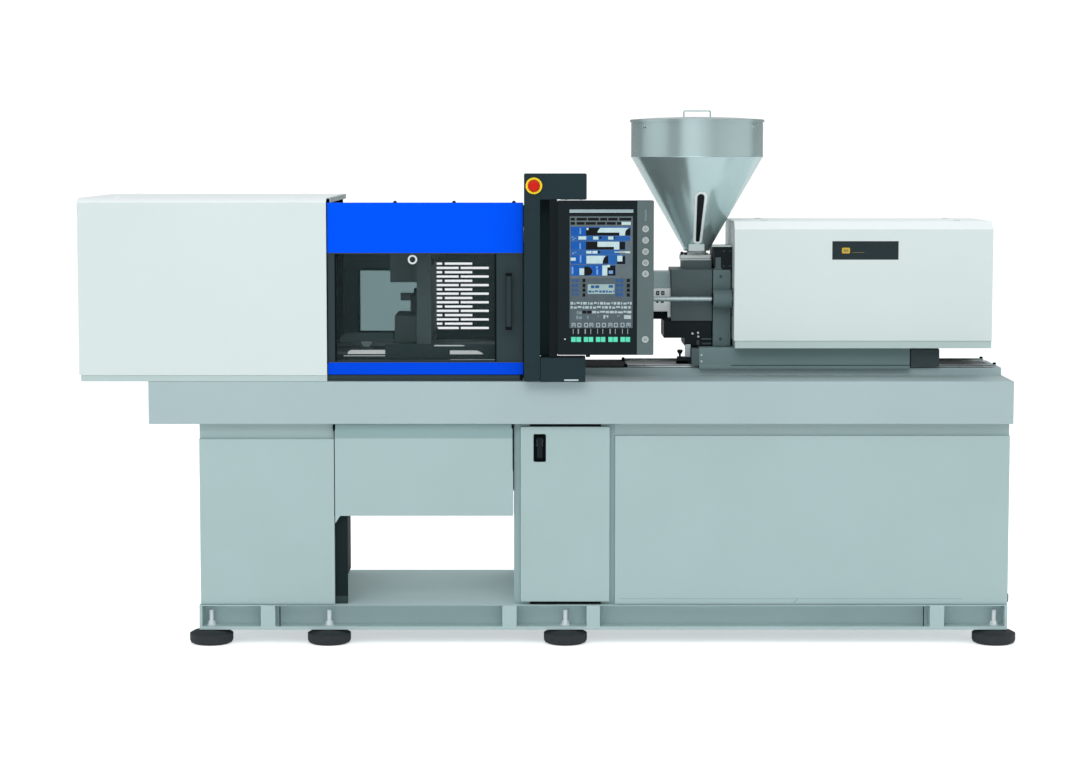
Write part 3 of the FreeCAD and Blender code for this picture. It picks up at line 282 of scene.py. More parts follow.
def edges(o, mm, angle=35.0):
    w = o.modifiers.new("weld", "WELD")
    w.merge_threshold = 0.00002
    if mm > 0:
        b = o.modifiers.new("edge", "BEVEL")
        b.width = mm / 1000.0
        b.segments = 2
        b.limit_method = "ANGLE"
        b.angle_limit = math.radians(angle)
        b.use_clamp_overlap = True
        b.harden_normals = False
    n = o.modifiers.new("normals", "WEIGHTED_NORMAL")
    n.keep_sharp = False
    n.weight = 80


for name, mat in WEAR.items():
    o = nodes[name]
    o.data.materials.clear()
    o.data.materials.append(mat)
    for poly in o.data.polygons:
        poly.material_index = 0
    if name != "hopper":
        edges(o, EDGE.get(name, 1.0))


# ------------------------------------------------------------------ mesh tools
def piece(name, bm, body, mat, smooth=False):
    me = bpy.data.meshes.new(name)
    bmesh.ops.remove_doubles(bm, verts=bm.verts, dist=1e-6)
    bmesh.ops.recalc_face_normals(bm, faces=bm.faces)
    if smooth:
        for f in bm.faces:
            f.smooth = True
    bm.to_mesh(me)
    bm.free()
    for m in (mat if isinstance(mat, (list, tuple)) else [mat]):
        me.materials.append(m)
    o = bpy.data.objects.new(name, me)
    scene.collection.objects.link(o)
    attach(o, body)
    if smooth:
        n = o.modifiers.new("normals", "WEIGHTED_NORMAL")
        n.keep_sharp = False
        n.weight = 70
    return o


def slab(bm, x0, x1, y0, y1, z0, z1, r=0.001, seg=2, mi=0):
    # a block with every edge rounded
    old = set(bm.faces)
    g = bmesh.ops.create_cube(bm, size=1.0)
    vs = g["verts"]
    bmesh.ops.scale(bm, vec=(x1 - x0, y1 - y0, z1 - z0), verts=vs)
    bmesh.ops.translate(bm, vec=((x0 + x1) / 2, (y0 + y1) / 2, (z0 + z1) / 2), verts=vs)
    es = list({e for v in vs for e in v.link_edges})
    if r > 0:
        r = min(r, 0.45 * min(x1 - x0, y1 - y0, z1 - z0))
        bmesh.ops.bevel(bm, geom=es, offset=r, segments=seg, profile=0.5, affect="EDGES")
    for f in bm.faces:
        if f not in old:
            f.material_index = mi
    return bm


def rod(bm, p0, p1, r, sides=24, r2=None, chamfer=0.0, mi=0):
    # a round bar from p0 to p1 with chamfered ends
    p0, p1 = Vector(p0), Vector(p1)
    d = p1 - p0
    L = d.length
    q = d.to_track_quat("Z", "Y")
    r2 = r if r2 is None else r2
    prof = [(r - chamfer, 0.0), (r, chamfer), (r2, L - chamfer), (r2 - chamfer, L)] if chamfer > 0 else [(r, 0.0), (r2, L)]
    rings = []
    for pr, pz in prof:
        ring = []
        for i in range(sides):
            a = 2 * math.pi * i / sides
            ring.append(bm.verts.new(p0 + q @ Vector((pr * math.cos(a), pr * math.sin(a), pz))))
        rings.append(ring)
    for a, b in zip(rings[:-1], rings[1:]):
        for i in range(sides):
            f = bm.faces.new((a[i], a[(i + 1) % sides], b[(i + 1) % sides], b[i]))
            f.material_index = mi
            f.tag = True
    for ring in (rings[0][::-1], rings[-1]):
        f = bm.faces.new(ring)
        f.material_index = mi
        f.tag = True
    return bm


def turned(bm, prof, centre, axis="z", sides=48, mi=0):
    # a turned shape: prof is (radius, height) along the axis
    cx, cy, cz = centre

    def at(r, s, a):
        if axis == "z":
            return (cx + r * math.cos(a), cy + r * math.sin(a), cz + s)
        if axis == "y":
            return (cx + r * math.cos(a), cy + s, cz + r * math.sin(a))
        return (cx + s, cy + r * math.cos(a), cz + r * math.sin(a))

    rings = []
    for r, s in prof:
        if r < 1e-7:
            rings.append([bm.verts.new(at(0, s, 0))])
        else:
            rings.append([bm.verts.new(at(r, s, 2 * math.pi * i / sides)) for i in range(sides)])
    for a, b in zip(rings[:-1], rings[1:]):
        for i in range(sides):
            j = (i + 1) % sides
            if len(a) == 1 and len(b) == 1:
                continue
            if len(a) == 1:
                f = bm.faces.new((a[0], b[j], b[i]))
            elif len(b) == 1:
                f = bm.faces.new((a[i], a[j], b[0]))
            else:
                f = bm.faces.new((a[i], a[j], b[j], b[i]))
            f.material_index = mi
            f.tag = True
    return bm


def hexhead(bm, c, axis, af, h, mi=0):
    # a hexagon head or nut with a chamfered top; axis is a unit vector
    n = Vector(axis)
    q = n.to_track_quat("Z", "Y")
    c = Vector(c)
    R = af / math.sqrt(3)
    rings = []
    for rr, s in ((R, 0.0), (R, h * 0.8), (R * 0.86, h)):
        rings.append([bm.verts.new(c + q @ Vector((rr * math.cos(math.radians(60 * i)), rr * math.sin(math.radians(60 * i)), s))) for i in range(6)])
    for a, b in zip(rings[:-1], rings[1:]):
        for i in range(6):
            f = bm.faces.new((a[i], a[(i + 1) % 6], b[(i + 1) % 6], b[i]))
            f.material_index = mi
            f.tag = True
    for ring in (rings[0][::-1], rings[-1]):
        f = bm.faces.new(ring)
        f.material_index = mi
        f.tag = True


def capscrew(bm, c, axis, r=0.005, h=0.004, mi=0):
    # a socket cap screw: a head with a hexagon socket sunk in it
    n = Vector(axis)
    q = n.to_track_quat("Z", "Y")
    c = Vector(c)
    N = 18
    rings = []
    for rr, s in ((r, 0.0), (r, h * 0.85), (r * 0.9, h), (r * 0.52, h), (r * 0.5, h * 0.35)):
        rings.append([bm.verts.new(c + q @ Vector((rr * math.cos(2 * math.pi * i / N), rr * math.sin(2 * math.pi * i / N), s))) for i in range(N)])
    for a, b in zip(rings[:-1], rings[1:]):
        for i in range(N):
            f = bm.faces.new((a[i], a[(i + 1) % N], b[(i + 1) % N], b[i]))
            f.material_index = mi
            f.tag = True
    for ring in (rings[0][::-1], rings[-1]):
        f = bm.faces.new(ring)
        f.material_index = mi
        f.tag = True


def stadium(cx, cz, w, h, n=10):
    # outline of a slot standing upright, as (x, z)
    r = w / 2
    pts = []
    for i in range(n + 1):
        a = math.pi * i / n
        pts.append((cx + r * math.cos(a), cz + h / 2 - r + r * math.sin(a)))
    for i in range(n + 1):
        a = math.pi + math.pi * i / n
        pts.append((cx + r * math.cos(a), cz - h / 2 + r + r * math.sin(a)))
    return pts


def raised(bm, pts, y0, y1, mi=0):
    # a flat shape given as (x, z), standing from y1 forward to y0
    a = [bm.verts.new((x, y0, z)) for x, z in pts]
    b = [bm.verts.new((x, y1, z)) for x, z in pts]
    n = len(pts)
    for f in [bm.faces.new(a), bm.faces.new(b[::-1])] + [bm.faces.new((a[i], b[i], b[(i + 1) % n], a[(i + 1) % n])) for i in range(n)]:
        f.material_index = mi
        f.tag = True


def rounded_rect(x0, x1, z0, z1, r, n=5):
    pts = []
    for cx, cz, a0 in ((x1 - r, z1 - r, 0), (x0 + r, z1 - r, 90), (x0 + r, z0 + r, 180), (x1 - r, z0 + r, 270)):
        for i in range(n + 1):
            a = math.radians(a0 + 90.0 * i / n)
            pts.append((cx + r * math.cos(a), cz + r * math.sin(a)))
    return pts
# ------------------------------------------------------------------ operator panel
# The display's layout is drawn on a grid, 472 wide and 833 high, laid over the
# screen; every field is a thin plate a little in front of the one below.
UI_MID = glow("ui_blue_mid", rgb(32, 96, 168), 0.45, 0.2)
UI_DEEP = glow("ui_blue_deep", rgb(10, 88, 176), 0.45, 0.2)
UI_BLACK = glow("ui_black", rgb(7, 11, 13), 0.2, 0.16)
UI_WHITE = glow("ui_white", rgb(196, 222, 224), 0.45, 0.2)
UI_PALE = glow("ui_pale", rgb(118, 160, 214), 0.45, 0.2)
UI_GREY = glow("ui_grey", rgb(158, 184, 184), 0.45, 0.2)
UI_SLATE = glow("ui_slate", rgb(46, 90, 142), 0.45, 0.2)
UI_TICK = glow("ui_tick", rgb(176, 194, 196), 0.45, 0.2)
UI_DIM = glow("ui_dim", rgb(126, 144, 148), 0.45, 0.2)
UI_FIELD = glow("ui_field", rgb(98, 112, 117), 0.4, 0.2)
UI_FIELD2 = glow("ui_field_low", rgb(84, 98, 105), 0.4, 0.2)


def sx(a):
    return 0.069 + (a - 76) * 0.0004852


def sz(b):
    return 1.580 - (b - 200) * 0.0004874


def ui_layer(name, mat, depth, rects=(), polys=(), back=0.0004):
    bm = bmesh.new()
    y0 = -0.4490 - depth
    for a0, a1, b0, b1 in rects:
        raised(bm, [(sx(a0), sz(b1)), (sx(a1), sz(b1)), (sx(a1), sz(b0)), (sx(a0), sz(b0))], y0, y0 + back)
    for pts in polys:
        raised(bm, [(sx(a), sz(b)) for a, b in pts][::-1], y0, y0 + back)
    return piece(name, bm, "operator_panel", mat)


def dashes(a0, a1, b0, b1, pattern):
    out, a, i = [], a0, 0
    while a < a1:
        w, g = pattern[i % len(pattern)]
        e = min(a + w, a1)
        cut_low = (i * 7) % 5
        out.append((a, e, b0 + (cut_low == 2) * 4, b1 - (cut_low == 4) * 5))
        a = e + g
        i += 1
    return out


ui_layer("screen_field_upper", UI_FIELD, 0.00005, [(79, 545, 206, 660)])
ui_layer("screen_field_lower", UI_FIELD2, 0.00005, [(79, 545, 661, 1030)])
ui_layer("screen_blue_mid", UI_MID, 0.00015, [(84, 530, 278, 347), (84, 528, 349, 383), (84, 492, 386, 450), (84, 450, 452, 486), (84, 492, 488, 556), (84, 420, 560, 642)])
ui_layer("screen_blue_deep", UI_DEEP, 0.00025, [(84, 192, 282, 346), (84, 192, 388, 449), (84, 192, 490, 554), (84, 148, 562, 641), (250, 320, 566, 641)])
ui_layer("screen_black", UI_BLACK, 0.00035, [
    (84, 116, 213, 233), (128, 204, 213, 233), (212, 294, 213, 233), (304, 356, 213, 233), (364, 434, 213, 233), (446, 536, 213, 233),
    (84, 116, 244, 264), (128, 188, 244, 264), (196, 272, 244, 264), (280, 344, 244, 264), (352, 420, 244, 264), (430, 462, 244, 264),
    (198, 304, 286, 344), (304, 447, 322, 344), (298, 314, 352, 368), (403, 414, 352, 368), (198, 284, 390, 448), (284, 407, 428, 448),
    (450, 490, 391, 448), (287, 303, 458, 476), (470, 491, 498, 556), (430, 470, 538, 556), (358, 418, 568, 641),
    (173, 195, 666, 690), (173, 195, 702, 730), (173, 195, 738, 762), (173, 195, 774, 798),
    (503, 527, 666, 690), (503, 527, 702, 730), (503, 527, 738, 762), (503, 527, 774, 798),
    (172, 203, 902, 924), (208, 240, 902, 924)], [
    [(490, 344), (490, 322), (496, 308), (508, 296), (530, 288), (530, 344)],
    [(326, 553), (326, 530), (334, 512), (347, 498), (364, 496), (364, 553)],
    [(186, 641), (186, 578), (196, 574), (216, 575), (234, 584), (246, 600), (246, 620), (238, 634), (222, 641)]])
ui_layer("screen_white", UI_WHITE, 0.00045, [
    (464, 532, 243, 265), (202, 217, 287, 303), (142, 200, 350, 374), (252, 290, 351, 374), (364, 403, 351, 374), (200, 240, 458, 478), (246, 284, 458, 478),
    (410, 492, 463, 470), (490, 528, 461, 475), (84, 122, 508, 531), (432, 470, 494, 536), (150, 185, 588, 637), (320, 358, 566, 641), (358, 378, 562, 580)], [
    [(304, 287), (518, 287), (502, 299), (492, 314), (489, 344), (447, 344), (447, 322), (284, 322), (288, 308)],
    [(284, 390), (447, 390), (447, 448), (407, 448), (407, 428), (284, 428)],
    [(202, 494), (346, 494), (332, 512), (324, 532), (322, 552), (202, 552)]])
ui_layer("screen_pale", UI_PALE, 0.0004, [(150, 162, 288, 300), (150, 162, 304, 332), (150, 160, 400, 444), (152, 164, 492, 546), (92, 104, 576, 630), (274, 286, 572, 590), (276, 290, 596, 634),
                                         (92, 104, 352, 360), (108, 126, 362, 368), (96, 110, 372, 378), (96, 106, 470, 482), (112, 126, 466, 472), (166, 184, 360, 366), (368, 400, 604, 628)])
ui_layer("screen_grey", UI_GREY, 0.00015, [(212, 412, 706, 778)])
ui_layer("screen_slate", UI_SLATE, 0.00018, [(a0, a1, b0, b1) for b0, b1 in ((668, 690), (704, 728), (740, 762), (774, 790)) for a0, a1 in ((92, 112), (118, 143))] +
         [(a0, a1, b0, b1) for b0, b1 in ((666, 692), (702, 728), (738, 761), (768, 797)) for a0, a1 in ((420, 446), (451, 478))] +
         [(236, 262, 714, 736), (268, 298, 714, 736), (368, 402, 712, 732)] + dashes(218, 410, 752, 768, ((22, 6), (14, 5), (26, 7), (18, 5))))
ui_layer("screen_ticks", UI_TICK, 0.00018,
         dashes(84, 541, 838, 857, ((20, 8), (8, 9), (24, 6), (12, 6), (27, 10), (9, 7), (21, 8))) +
         dashes(84, 541, 869, 887, ((16, 8), (22, 6), (30, 9), (13, 6), (25, 9))) +
         dashes(246, 539, 904, 922, ((30, 5), (18, 6), (38, 5), (24, 5))) + [(484, 536, 936, 964), (330, 342, 936, 962), (346, 352, 936, 950), (357, 366, 936, 956)])
ui_layer("screen_dim", UI_DIM, 0.00016, [(130, 142, 904, 930), (146, 168, 908, 930), (126, 142, 940, 966), (148, 168, 944, 966), (208, 218, 940, 964), (286, 296, 940, 948), (430, 452, 938, 946)])
labels = []
for i, a in enumerate((107, 150, 201, 240, 290, 333, 382, 423, 473, 517)):
    labels += [(a - 14, a - 9, 994, 1026), (a + 9, a + 14, 994, 1026), (a - 14, a + 14, 994, 999)]
    labels += [(a - 14, a + 14, 1021, 1026)] if i % 3 else [(a - 4, a + 4, 1006, 1014)]
ui_layer("screen_key_labels", UI_TICK, 0.0002, labels)

bm = bmesh.new()
for i, a in enumerate((104, 142, 194, 235, 286, 325, 380, 419, 472, 511)):
    w = 4.5 if i in (1, 2, 6) else 2.6
    raised(bm, rounded_rect(sx(a - w), sx(a + w), sz(1076), sz(1038), 0.0008, 3), -0.4503, -0.4498)
piece("key_pointers", bm, "operator_panel", plastic("print_grey", rgb(146, 158, 160), 0.4, 0.03))

bm = bmesh.new()
slab(bm, sx(75), sx(551), -0.4512, -0.4496, sz(171), sz(151), 0.0005)
piece("panel_light_bar", bm, "operator_panel", glow("light_bar", rgb(156, 178, 184), 0.35, 0.25))
bm = bmesh.new()
slab(bm, sx(75), sx(551), -0.4514, -0.4496, sz(174), sz(171), 0.0003)
piece("panel_light_bar_edge", bm, "operator_panel", glow("light_bar_edge", rgb(205, 220, 222), 0.35, 0.25))
bm = bmesh.new()
turned(bm, [(0.0026, 0.0), (0.0026, -0.0006), (0.0019, -0.0011), (0, -0.0012)], (sx(42), -0.4499, sz(1115)), "y", 20)
piece("panel_lamp", bm, "operator_panel", glow("lamp_white", rgb(228, 236, 238), 0.6), True)

# slot and raised symbols of the key strip
bm = bmesh.new()
raised(bm, stadium(sx(643), (sz(150) + sz(236)) / 2, 0.0068, abs(sz(150) - sz(236))), -0.4504, -0.4499)
piece("strip_slot", bm, "operator_panel", plastic("strip_pale", rgb(112, 130, 131), 0.4, 0.03))
SYM = plastic("symbol_grey", rgb(132, 142, 142), 0.45, 0.03)
bm = bmesh.new()
for z in (1.5335, 1.4926, 1.4517, 1.4110, 1.3710, 1.1330):
    turned(bm, [(0.0064, 0.0), (0.0064, -0.0004), (0.0046, -0.0004), (0.0046, 0.0)], (0.344, -0.4514, z), "y", 28)
for z, w, h in ((1.5335, 0.004, 0.0012), (1.4926, 0.0012, 0.004), (1.4517, 0.0028, 0.0028), (1.4110, 0.004, 0.0024), (1.3710, 0.0024, 0.004), (1.1330, 0.0046, 0.0018)):
    slab(bm, 0.344 - w, 0.344 + w, -0.4518, -0.4513, z - h, z + h, 0.0002)
piece("round_key_symbols", bm, "operator_panel", SYM)

# dark surround of each round key, and the seam beside the strip
bm = bmesh.new()
for z in (1.5335, 1.4926, 1.4517, 1.4110, 1.3710, 1.1330):
    turned(bm, [(0.0137, 0.0), (0.0137, -0.0003), (0.0126, -0.0005), (0.0126, 0.0)], (0.344, -0.4500, z), "y", 36)
slab(bm, 0.3728, 0.3739, -0.4498, -0.4470, 1.0785, 1.6340, 0.0002)
slab(bm, 0.3138, 0.3730, -0.4497, -0.4480, 1.6336, 1.6352, 0.0002)
piece("strip_border", bm, "operator_panel", SEAM)

# rear of the panel: a shallow lid with air slots, its screws and the cable gland
bm = bmesh.new()
slab(bm, 0.045, 0.354, -0.4060, -0.4000, 1.100, 1.612, 0.002)
for i in range(9):
    z = 1.50 - i * 0.014
    slab(bm, 0.110, 0.210, -0.4005, -0.3990, z, z + 0.006, 0.0006, mi=1)
    slab(bm, 0.225, 0.325, -0.4005, -0.3990, z, z + 0.006, 0.0006, mi=1)
for x in (0.055, 0.344):
    for z in (1.112, 1.356, 1.600):
        capscrew(bm, (x, -0.4000, z), (0, 1, 0), 0.0035, 0.0022, 2)
rod(bm, (0.075, -0.4060, 1.150), (0.075, -0.3850, 1.150), 0.011, 24, chamfer=0.001, mi=1)
piece("panel_rear_lid", bm, "operator_panel", [PANELB, BLACKP, ZINC])

# knob below the panel that clamps its swing
bm = bmesh.new()
rod(bm, (sx(215), -0.429, 1.0775), (sx(215), -0.429, 1.0700), 0.0048, 20)
rod(bm, (sx(215), -0.429, 1.0765), (sx(215), -0.429, 1.0672), 0.0078, 24, chamfer=0.0015)
piece("panel_knob", bm, "operator_panel", BLACKP)

# post: light seam strip on the foot, screws, and the cap of the upper block
bm = bmesh.new()
slab(bm, 0.050, 0.102, -0.4462, -0.4440, 0.9812, 0.9870, 0.0006)
piece("foot_strip", bm, "machine", plastic("strip_pale", rgb(186, 202, 202), 0.5, 0.02, spec=0.1))
bm = bmesh.new()
for x, z in ((-0.083, 1.034), (-0.083, 1.600), (-0.051, 1.600), (-0.051, 1.034)):
    capscrew(bm, (x, -0.4448, z), (0, -1, 0), 0.0032, 0.0018)
for x, y in ((0.055, -0.425), (0.055, -0.375), (0.110, -0.425)):
    capscrew(bm, (x, y, 1.6404), (0, 0, -1), 0.0042, 0.0026)
piece("post_screws", bm, "machine", POST)
bm = bmesh.new()
slab(bm, -0.0935, 0.1285, -0.4425, -0.3555, 1.7300, 1.7330, 0.0012)
piece("post_cap", bm, "machine", POST)
# emergency stop: ring under the head
bm = bmesh.new()
turned(bm, [(0.0255, 0.0), (0.0255, -0.002), (0.0235, -0.004), (0.0225, -0.004), (0.0225, 0.0)], (-0.060, -0.4488, 1.689), "y", 48)
piece("stop_ring", bm, "machine", YEL, True)

# fillers between post, foot and panel: no light passes there
bm = bmesh.new()
slab(bm, -0.0386, -0.0354, -0.4400, -0.3600, 0.9775, 1.0655, 0.0003)
slab(bm, 0.0360, 0.1260, -0.4300, -0.3620, 1.6385, 1.6402, 0.0003)
slab(bm, -0.0340, 0.0240, -0.3720, -0.3570, 1.0658, 1.0745, 0.0010)
slab(bm, 0.0240, 0.1265, -0.3720, -0.3570, 1.0658, 1.0672, 0.0004)
piece("post_fillers", bm, "machine", RUBBER_AND_SHADE)
# ------------------------------------------------------------------ clamp end and safety doors
# lower lip of both covers a slightly darker white: painted shade on the set-in, downward-facing lip
COVER_LIP_SHADE = powder("cover_lip_painted_shade", rgb(188, 206, 204), 0.42, 0.012)


def lip_faces(name, below):
    o = nodes[name]
    o.data.materials.append(COVER_LIP_SHADE)
    m = o.matrix_world
    for poly in o.data.polygons:
        if max((m @ o.data.vertices[i].co).z for i in poly.vertices) < below:
            poly.material_index = 1


lip_faces("clamp_cover", 0.9995)
lip_faces("injection_cover", 1.1125)

# inner faces of both covers are painted near black further down: painted shade of their interiors

# front door: ring on the glass, hanger screws on the top edge, seals
bm = bmesh.new()
turned(bm, [(0.0172, 0.0), (0.0172, -0.0022), (0.0166, -0.0030), (0.0112, -0.0030), (0.0106, -0.0022), (0.0106, 0.0)], (-0.503, -0.3802, 1.420), "y", 48)
piece("door_ring", bm, "front_door", TRIM, True)
bm = bmesh.new()
for x in (-0.566, -0.351, -0.133):
    rod(bm, (x, -0.376, 1.6265), (x, -0.376, 1.6335), 0.0052, 20, chamfer=0.0008)
    hexhead(bm, (x, -0.376, 1.6265), (0, 0, 1), 0.013, 0.0035)
piece("door_hanger_screws", bm, "front_door", BLACKP)
bm = bmesh.new()
for x0, x1, z0, z1 in ((-0.787, -0.781, 1.046, 1.444), (-0.203, -0.197, 1.046, 1.444)):
    slab(bm, x0, x1, -0.3885, -0.3795, z0 - 0.003, z1, 0.001)
slab(bm, -0.787, -0.197, -0.3885, -0.3795, 1.0420, 1.0475, 0.001)
slab(bm, -0.787, -0.197, -0.3885, -0.3795, 1.4425, 1.4460, 0.001)
piece("window_seal", bm, "front_door", RUBBER_AND_SHADE)
# shadow gap between the stiles and both blue boards
bm = bmesh.new()
slab(bm, -0.8120, -0.1015, -0.3915, -0.3870, 1.4420, 1.4446, 0.0004)
slab(bm, -0.8120, -0.1015, -0.3915, -0.3870, 1.0440, 1.0464, 0.0004)
piece("board_gaps", bm, "front_door", SEAM)
# handle bar: a flat stile with two feet and a finger recess behind
bm = bmesh.new()
slab(bm, -0.1640, -0.1400, -0.3882, -0.3862, 1.1600, 1.3780, 0.0008)
piece("handle_seat", bm, "front_door", plastic("seat_dark", rgb(40, 53, 55), 0.5, 0.03))
bm = bmesh.new()
slab(bm, -0.1600, -0.1440, -0.4236, -0.4216, 1.1760, 1.3620, 0.0009)
piece("handle_groove", bm, "front_door", plastic("groove_grey", rgb(44, 58, 61), 0.5, 0.03, spec=0.1))
bm = bmesh.new()
for z in (1.3665, 1.1715):
    slab(bm, -0.1635, -0.1405, -0.4242, -0.4180, z - 0.0055, z + 0.0055, 0.0012)
piece("handle_caps", bm, "front_door", RUBBER_AND_SHADE)

# inside of the window: dark guard plate behind the left stile
bm = bmesh.new()
slab(bm, -0.8000, -0.7830, -0.3540, -0.3500, 1.030, 1.600, 0.001)
piece("stile_inner", bm, "front_door", DARK)

# door tracks: shadow line and end stops
bm = bmesh.new()
slab(bm, -0.8140, -0.0990, -0.3925, -0.3905, 0.9765, 0.9790, 0.0004)
piece("track_shadow", bm, "machine", SEAM)
bm = bmesh.new()
for y in (-0.3860, -0.3640):
    slab(bm, -0.1120, -0.1010, y - 0.002, y + 0.002, 0.9790, 0.9975, 0.001)
piece("track_stops", bm, "machine", RUBBER_AND_SHADE)

# rear door: frame seal and hanger screws, mirrored from the front door
bm = bmesh.new()
for x in (-0.700, -0.456, -0.212):
    hexhead(bm, (x, 0.424, 1.6000), (0, 0, 1), 0.013, 0.0045)
piece("rear_hanger_screws", bm, "rear_door", ZINC)
bm = bmesh.new()
for x0, x1, z0, z1 in ((-0.7560, -0.7490, 1.096, 1.348), (-0.4750, -0.4680, 1.096, 1.348)):
    slab(bm, x0, x1, 0.4395, 0.4435, z0, z1, 0.001)
slab(bm, -0.7560, -0.4680, 0.4395, 0.4435, 1.0960, 1.1030, 0.001)
slab(bm, -0.7560, -0.4680, 0.4395, 0.4435, 1.3410, 1.3480, 0.001)
piece("rear_window_seal", bm, "rear_door", RUBBER_AND_SHADE)

# moving platen: knock-out housing and screws seen in the window
bm = bmesh.new()
slab(bm, -0.5280, -0.4960, -0.0350, 0.0050, 1.2050, 1.2710, 0.002)
slab(bm, -0.5280, -0.4960, 0.0450, 0.0850, 1.2050, 1.2710, 0.002)
slab(bm, -0.5280, -0.4960, 0.0040, 0.0460, 1.2050, 1.2430, 0.001)
for y in (-0.165, 0.215):
    for z in (1.120, 1.404):
        capscrew(bm, (-0.4420, y, z), (1, 0, 0), 0.012, 0.008)
        capscrew(bm, (-0.4420, y * 0.5 + 0.0125, z), (1, 0, 0), 0.009, 0.006)
piece("platen_fittings", bm, "moving_platen", CASTD)
bm = bmesh.new()
for y in (-0.165, 0.215):
    for z in (1.100, 1.424):
        capscrew(bm, (-0.1870, y, z), (-1, 0, 0), 0.012, 0.008)
slab(bm, -0.1850, -0.0690, -0.2385, -0.2350, 1.1000, 1.4200, 0.001)
piece("fixed_platen_plate", bm, "machine", CAST)
# sheet liner of the mould area: lower front apron
bm = bmesh.new()
slab(bm, -0.6100, -0.1950, -0.3000, -0.2940, 0.9800, 1.0460, 0.001)
piece("mould_apron", bm, "machine", DARK)

# clamp cover: rows of air slots and screws on the rear and the end, plugs on top
bm = bmesh.new()
for i in range(12):
    z = 1.470 - i * 0.022
    for x in (-1.58, -1.26):
        raised(bm, [(x, z), (x + 0.24, z), (x + 0.24, z + 0.009), (x, z + 0.009)], 0.4486, 0.4497)
piece("cover_slots", bm, "machine", SEAM)
bm = bmesh.new()
for i in range(10):
    z = 1.46 - i * 0.022
    slab(bm, -1.7220, -1.7208, -0.120, 0.170, z, z + 0.009, 0.0004)
piece("cover_end_slots", bm, "machine", SEAM)
bm = bmesh.new()
for x in (-1.66, -1.27, -0.87):
    capscrew(bm, (x, 0.4490, 1.585), (0, 1, 0), 0.006, 0.003)
    capscrew(bm, (x, 0.4490, 1.050), (0, 1, 0), 0.006, 0.003)
for y in (-0.34, 0.025, 0.39):
    for z in (1.08, 1.58):
        capscrew(bm, (-1.7185, y, z), (-1, 0, 0), 0.006, 0.003)
piece("cover_screws", bm, "machine", ZINC)
bm = bmesh.new()
for x in (-1.60, -0.95):
    for y in (-0.25, 0.30):
        turned(bm, [(0.013, 0.0), (0.013, 0.002), (0.010, 0.0035), (0, 0.0035)], (x, y, 1.6438), "z", 24)
# the plugs on top take the covers' painted highlight
piece("cover_plugs", bm, "machine", COVER_TOP_LIT, True)

# bed: rear pipe plate and its screws
bm = bmesh.new()
slab(bm, 0.300, 0.900, 0.4440, 0.4480, 0.845, 0.945, 0.002)
piece("bed_rear_plate", bm, "machine", BED)
bm = bmesh.new()
for x in (0.32, 0.60, 0.88):
    for z in (0.858, 0.932):
        capscrew(bm, (x, 0.4478, z), (0, 1, 0), 0.0055, 0.003)
piece("bed_rear_screws", bm, "machine", ZINC)

# mould area behind the window: low front shield, bright tray edges
bm = bmesh.new()
slab(bm, -0.6120, -0.1950, -0.2460, -0.2400, 1.0100, 1.1010, 0.001)
slab(bm, -0.7600, -0.6120, -0.2460, -0.2420, 1.0100, 1.0620, 0.001)
piece("mould_shield", bm, "machine", powder("shield_grey", rgb(56, 71, 74), 0.5, 0.04, spec=0.1))
bm = bmesh.new()
raised(bm, [(-0.7520, 1.0640), (-0.6125, 1.0640), (-0.6125, 1.0790), (-0.7380, 1.0790), (-0.7480, 1.0740)], -0.2475, -0.2440)
raised(bm, [(-0.3720, 1.0630), (-0.2480, 1.0630), (-0.2560, 1.0700), (-0.2720, 1.0770), (-0.3720, 1.0770)], -0.2475, -0.2455)
raised(bm, [(-0.4300, 1.0930), (-0.3200, 1.0930), (-0.3160, 1.0950), (-0.3300, 1.0975), (-0.4300, 1.0975)], -0.2475, -0.2455)
raised(bm, [(-0.7660, 1.0560), (-0.6125, 1.0560), (-0.6125, 1.0585), (-0.7660, 1.0585)], -0.2475, -0.2455)
raised(bm, [(-0.3700, 1.0420), (-0.2050, 1.0420), (-0.2050, 1.0440), (-0.3700, 1.0440)], -0.2475, -0.2455)
# the tray edges glow though they are no lamp: painted light
piece("tray_edges", bm, "machine", glow("tray_edge_painted_glow", rgb(226, 234, 234), 0.62, 0.4))

# low tube guard behind the window, with a pale half disc on its round end as a painted highlight
bm = bmesh.new()
raised(bm, [(-0.7800, 1.1120), (-0.7740, 1.1080), (-0.5840, 1.1080), (-0.5840, 1.1430), (-0.7480, 1.1430), (-0.7700, 1.1360), (-0.7800, 1.1250)], -0.2475, -0.2445)
slab(bm, -0.7000, -0.6620, -0.2450, -0.2430, 1.0600, 1.1100, 0.0005)
piece("tube_guard", bm, "machine", powder("tube_guard_grey", rgb(62, 77, 80), 0.5, 0.04, spec=0.1))
bm = bmesh.new()
raised(bm, [(-0.6805 + 0.0205 * math.cos(math.pi + math.pi * i / 16), 1.1110 + 0.0205 * math.sin(math.pi + math.pi * i / 16)) for i in range(17)], -0.2482, -0.2470)
piece("tube_guard_end", bm, "machine", powder("tube_end_painted_highlight", rgb(126, 142, 143), 0.5, 0.03, spec=0.1))

# lower blue board a little deeper in tone as painted shade; upper faces of the covers whiter as a painted highlight
def tint(name, mat, test):
    o = nodes[name]
    if mat.name not in [m.name for m in o.data.materials]:
        o.data.materials.append(mat)
    k = [m.name for m in o.data.materials].index(mat.name)
    world = o.matrix_world
    turn = world.to_3x3()
    for poly in o.data.polygons:
        if test(world @ poly.center, (turn @ poly.normal).normalized()):
            poly.material_index = k


# lower blue board darker: painted shade
tint("front_door_boards", BLUE_SHADED, lambda c, n: c.z < 1.2)
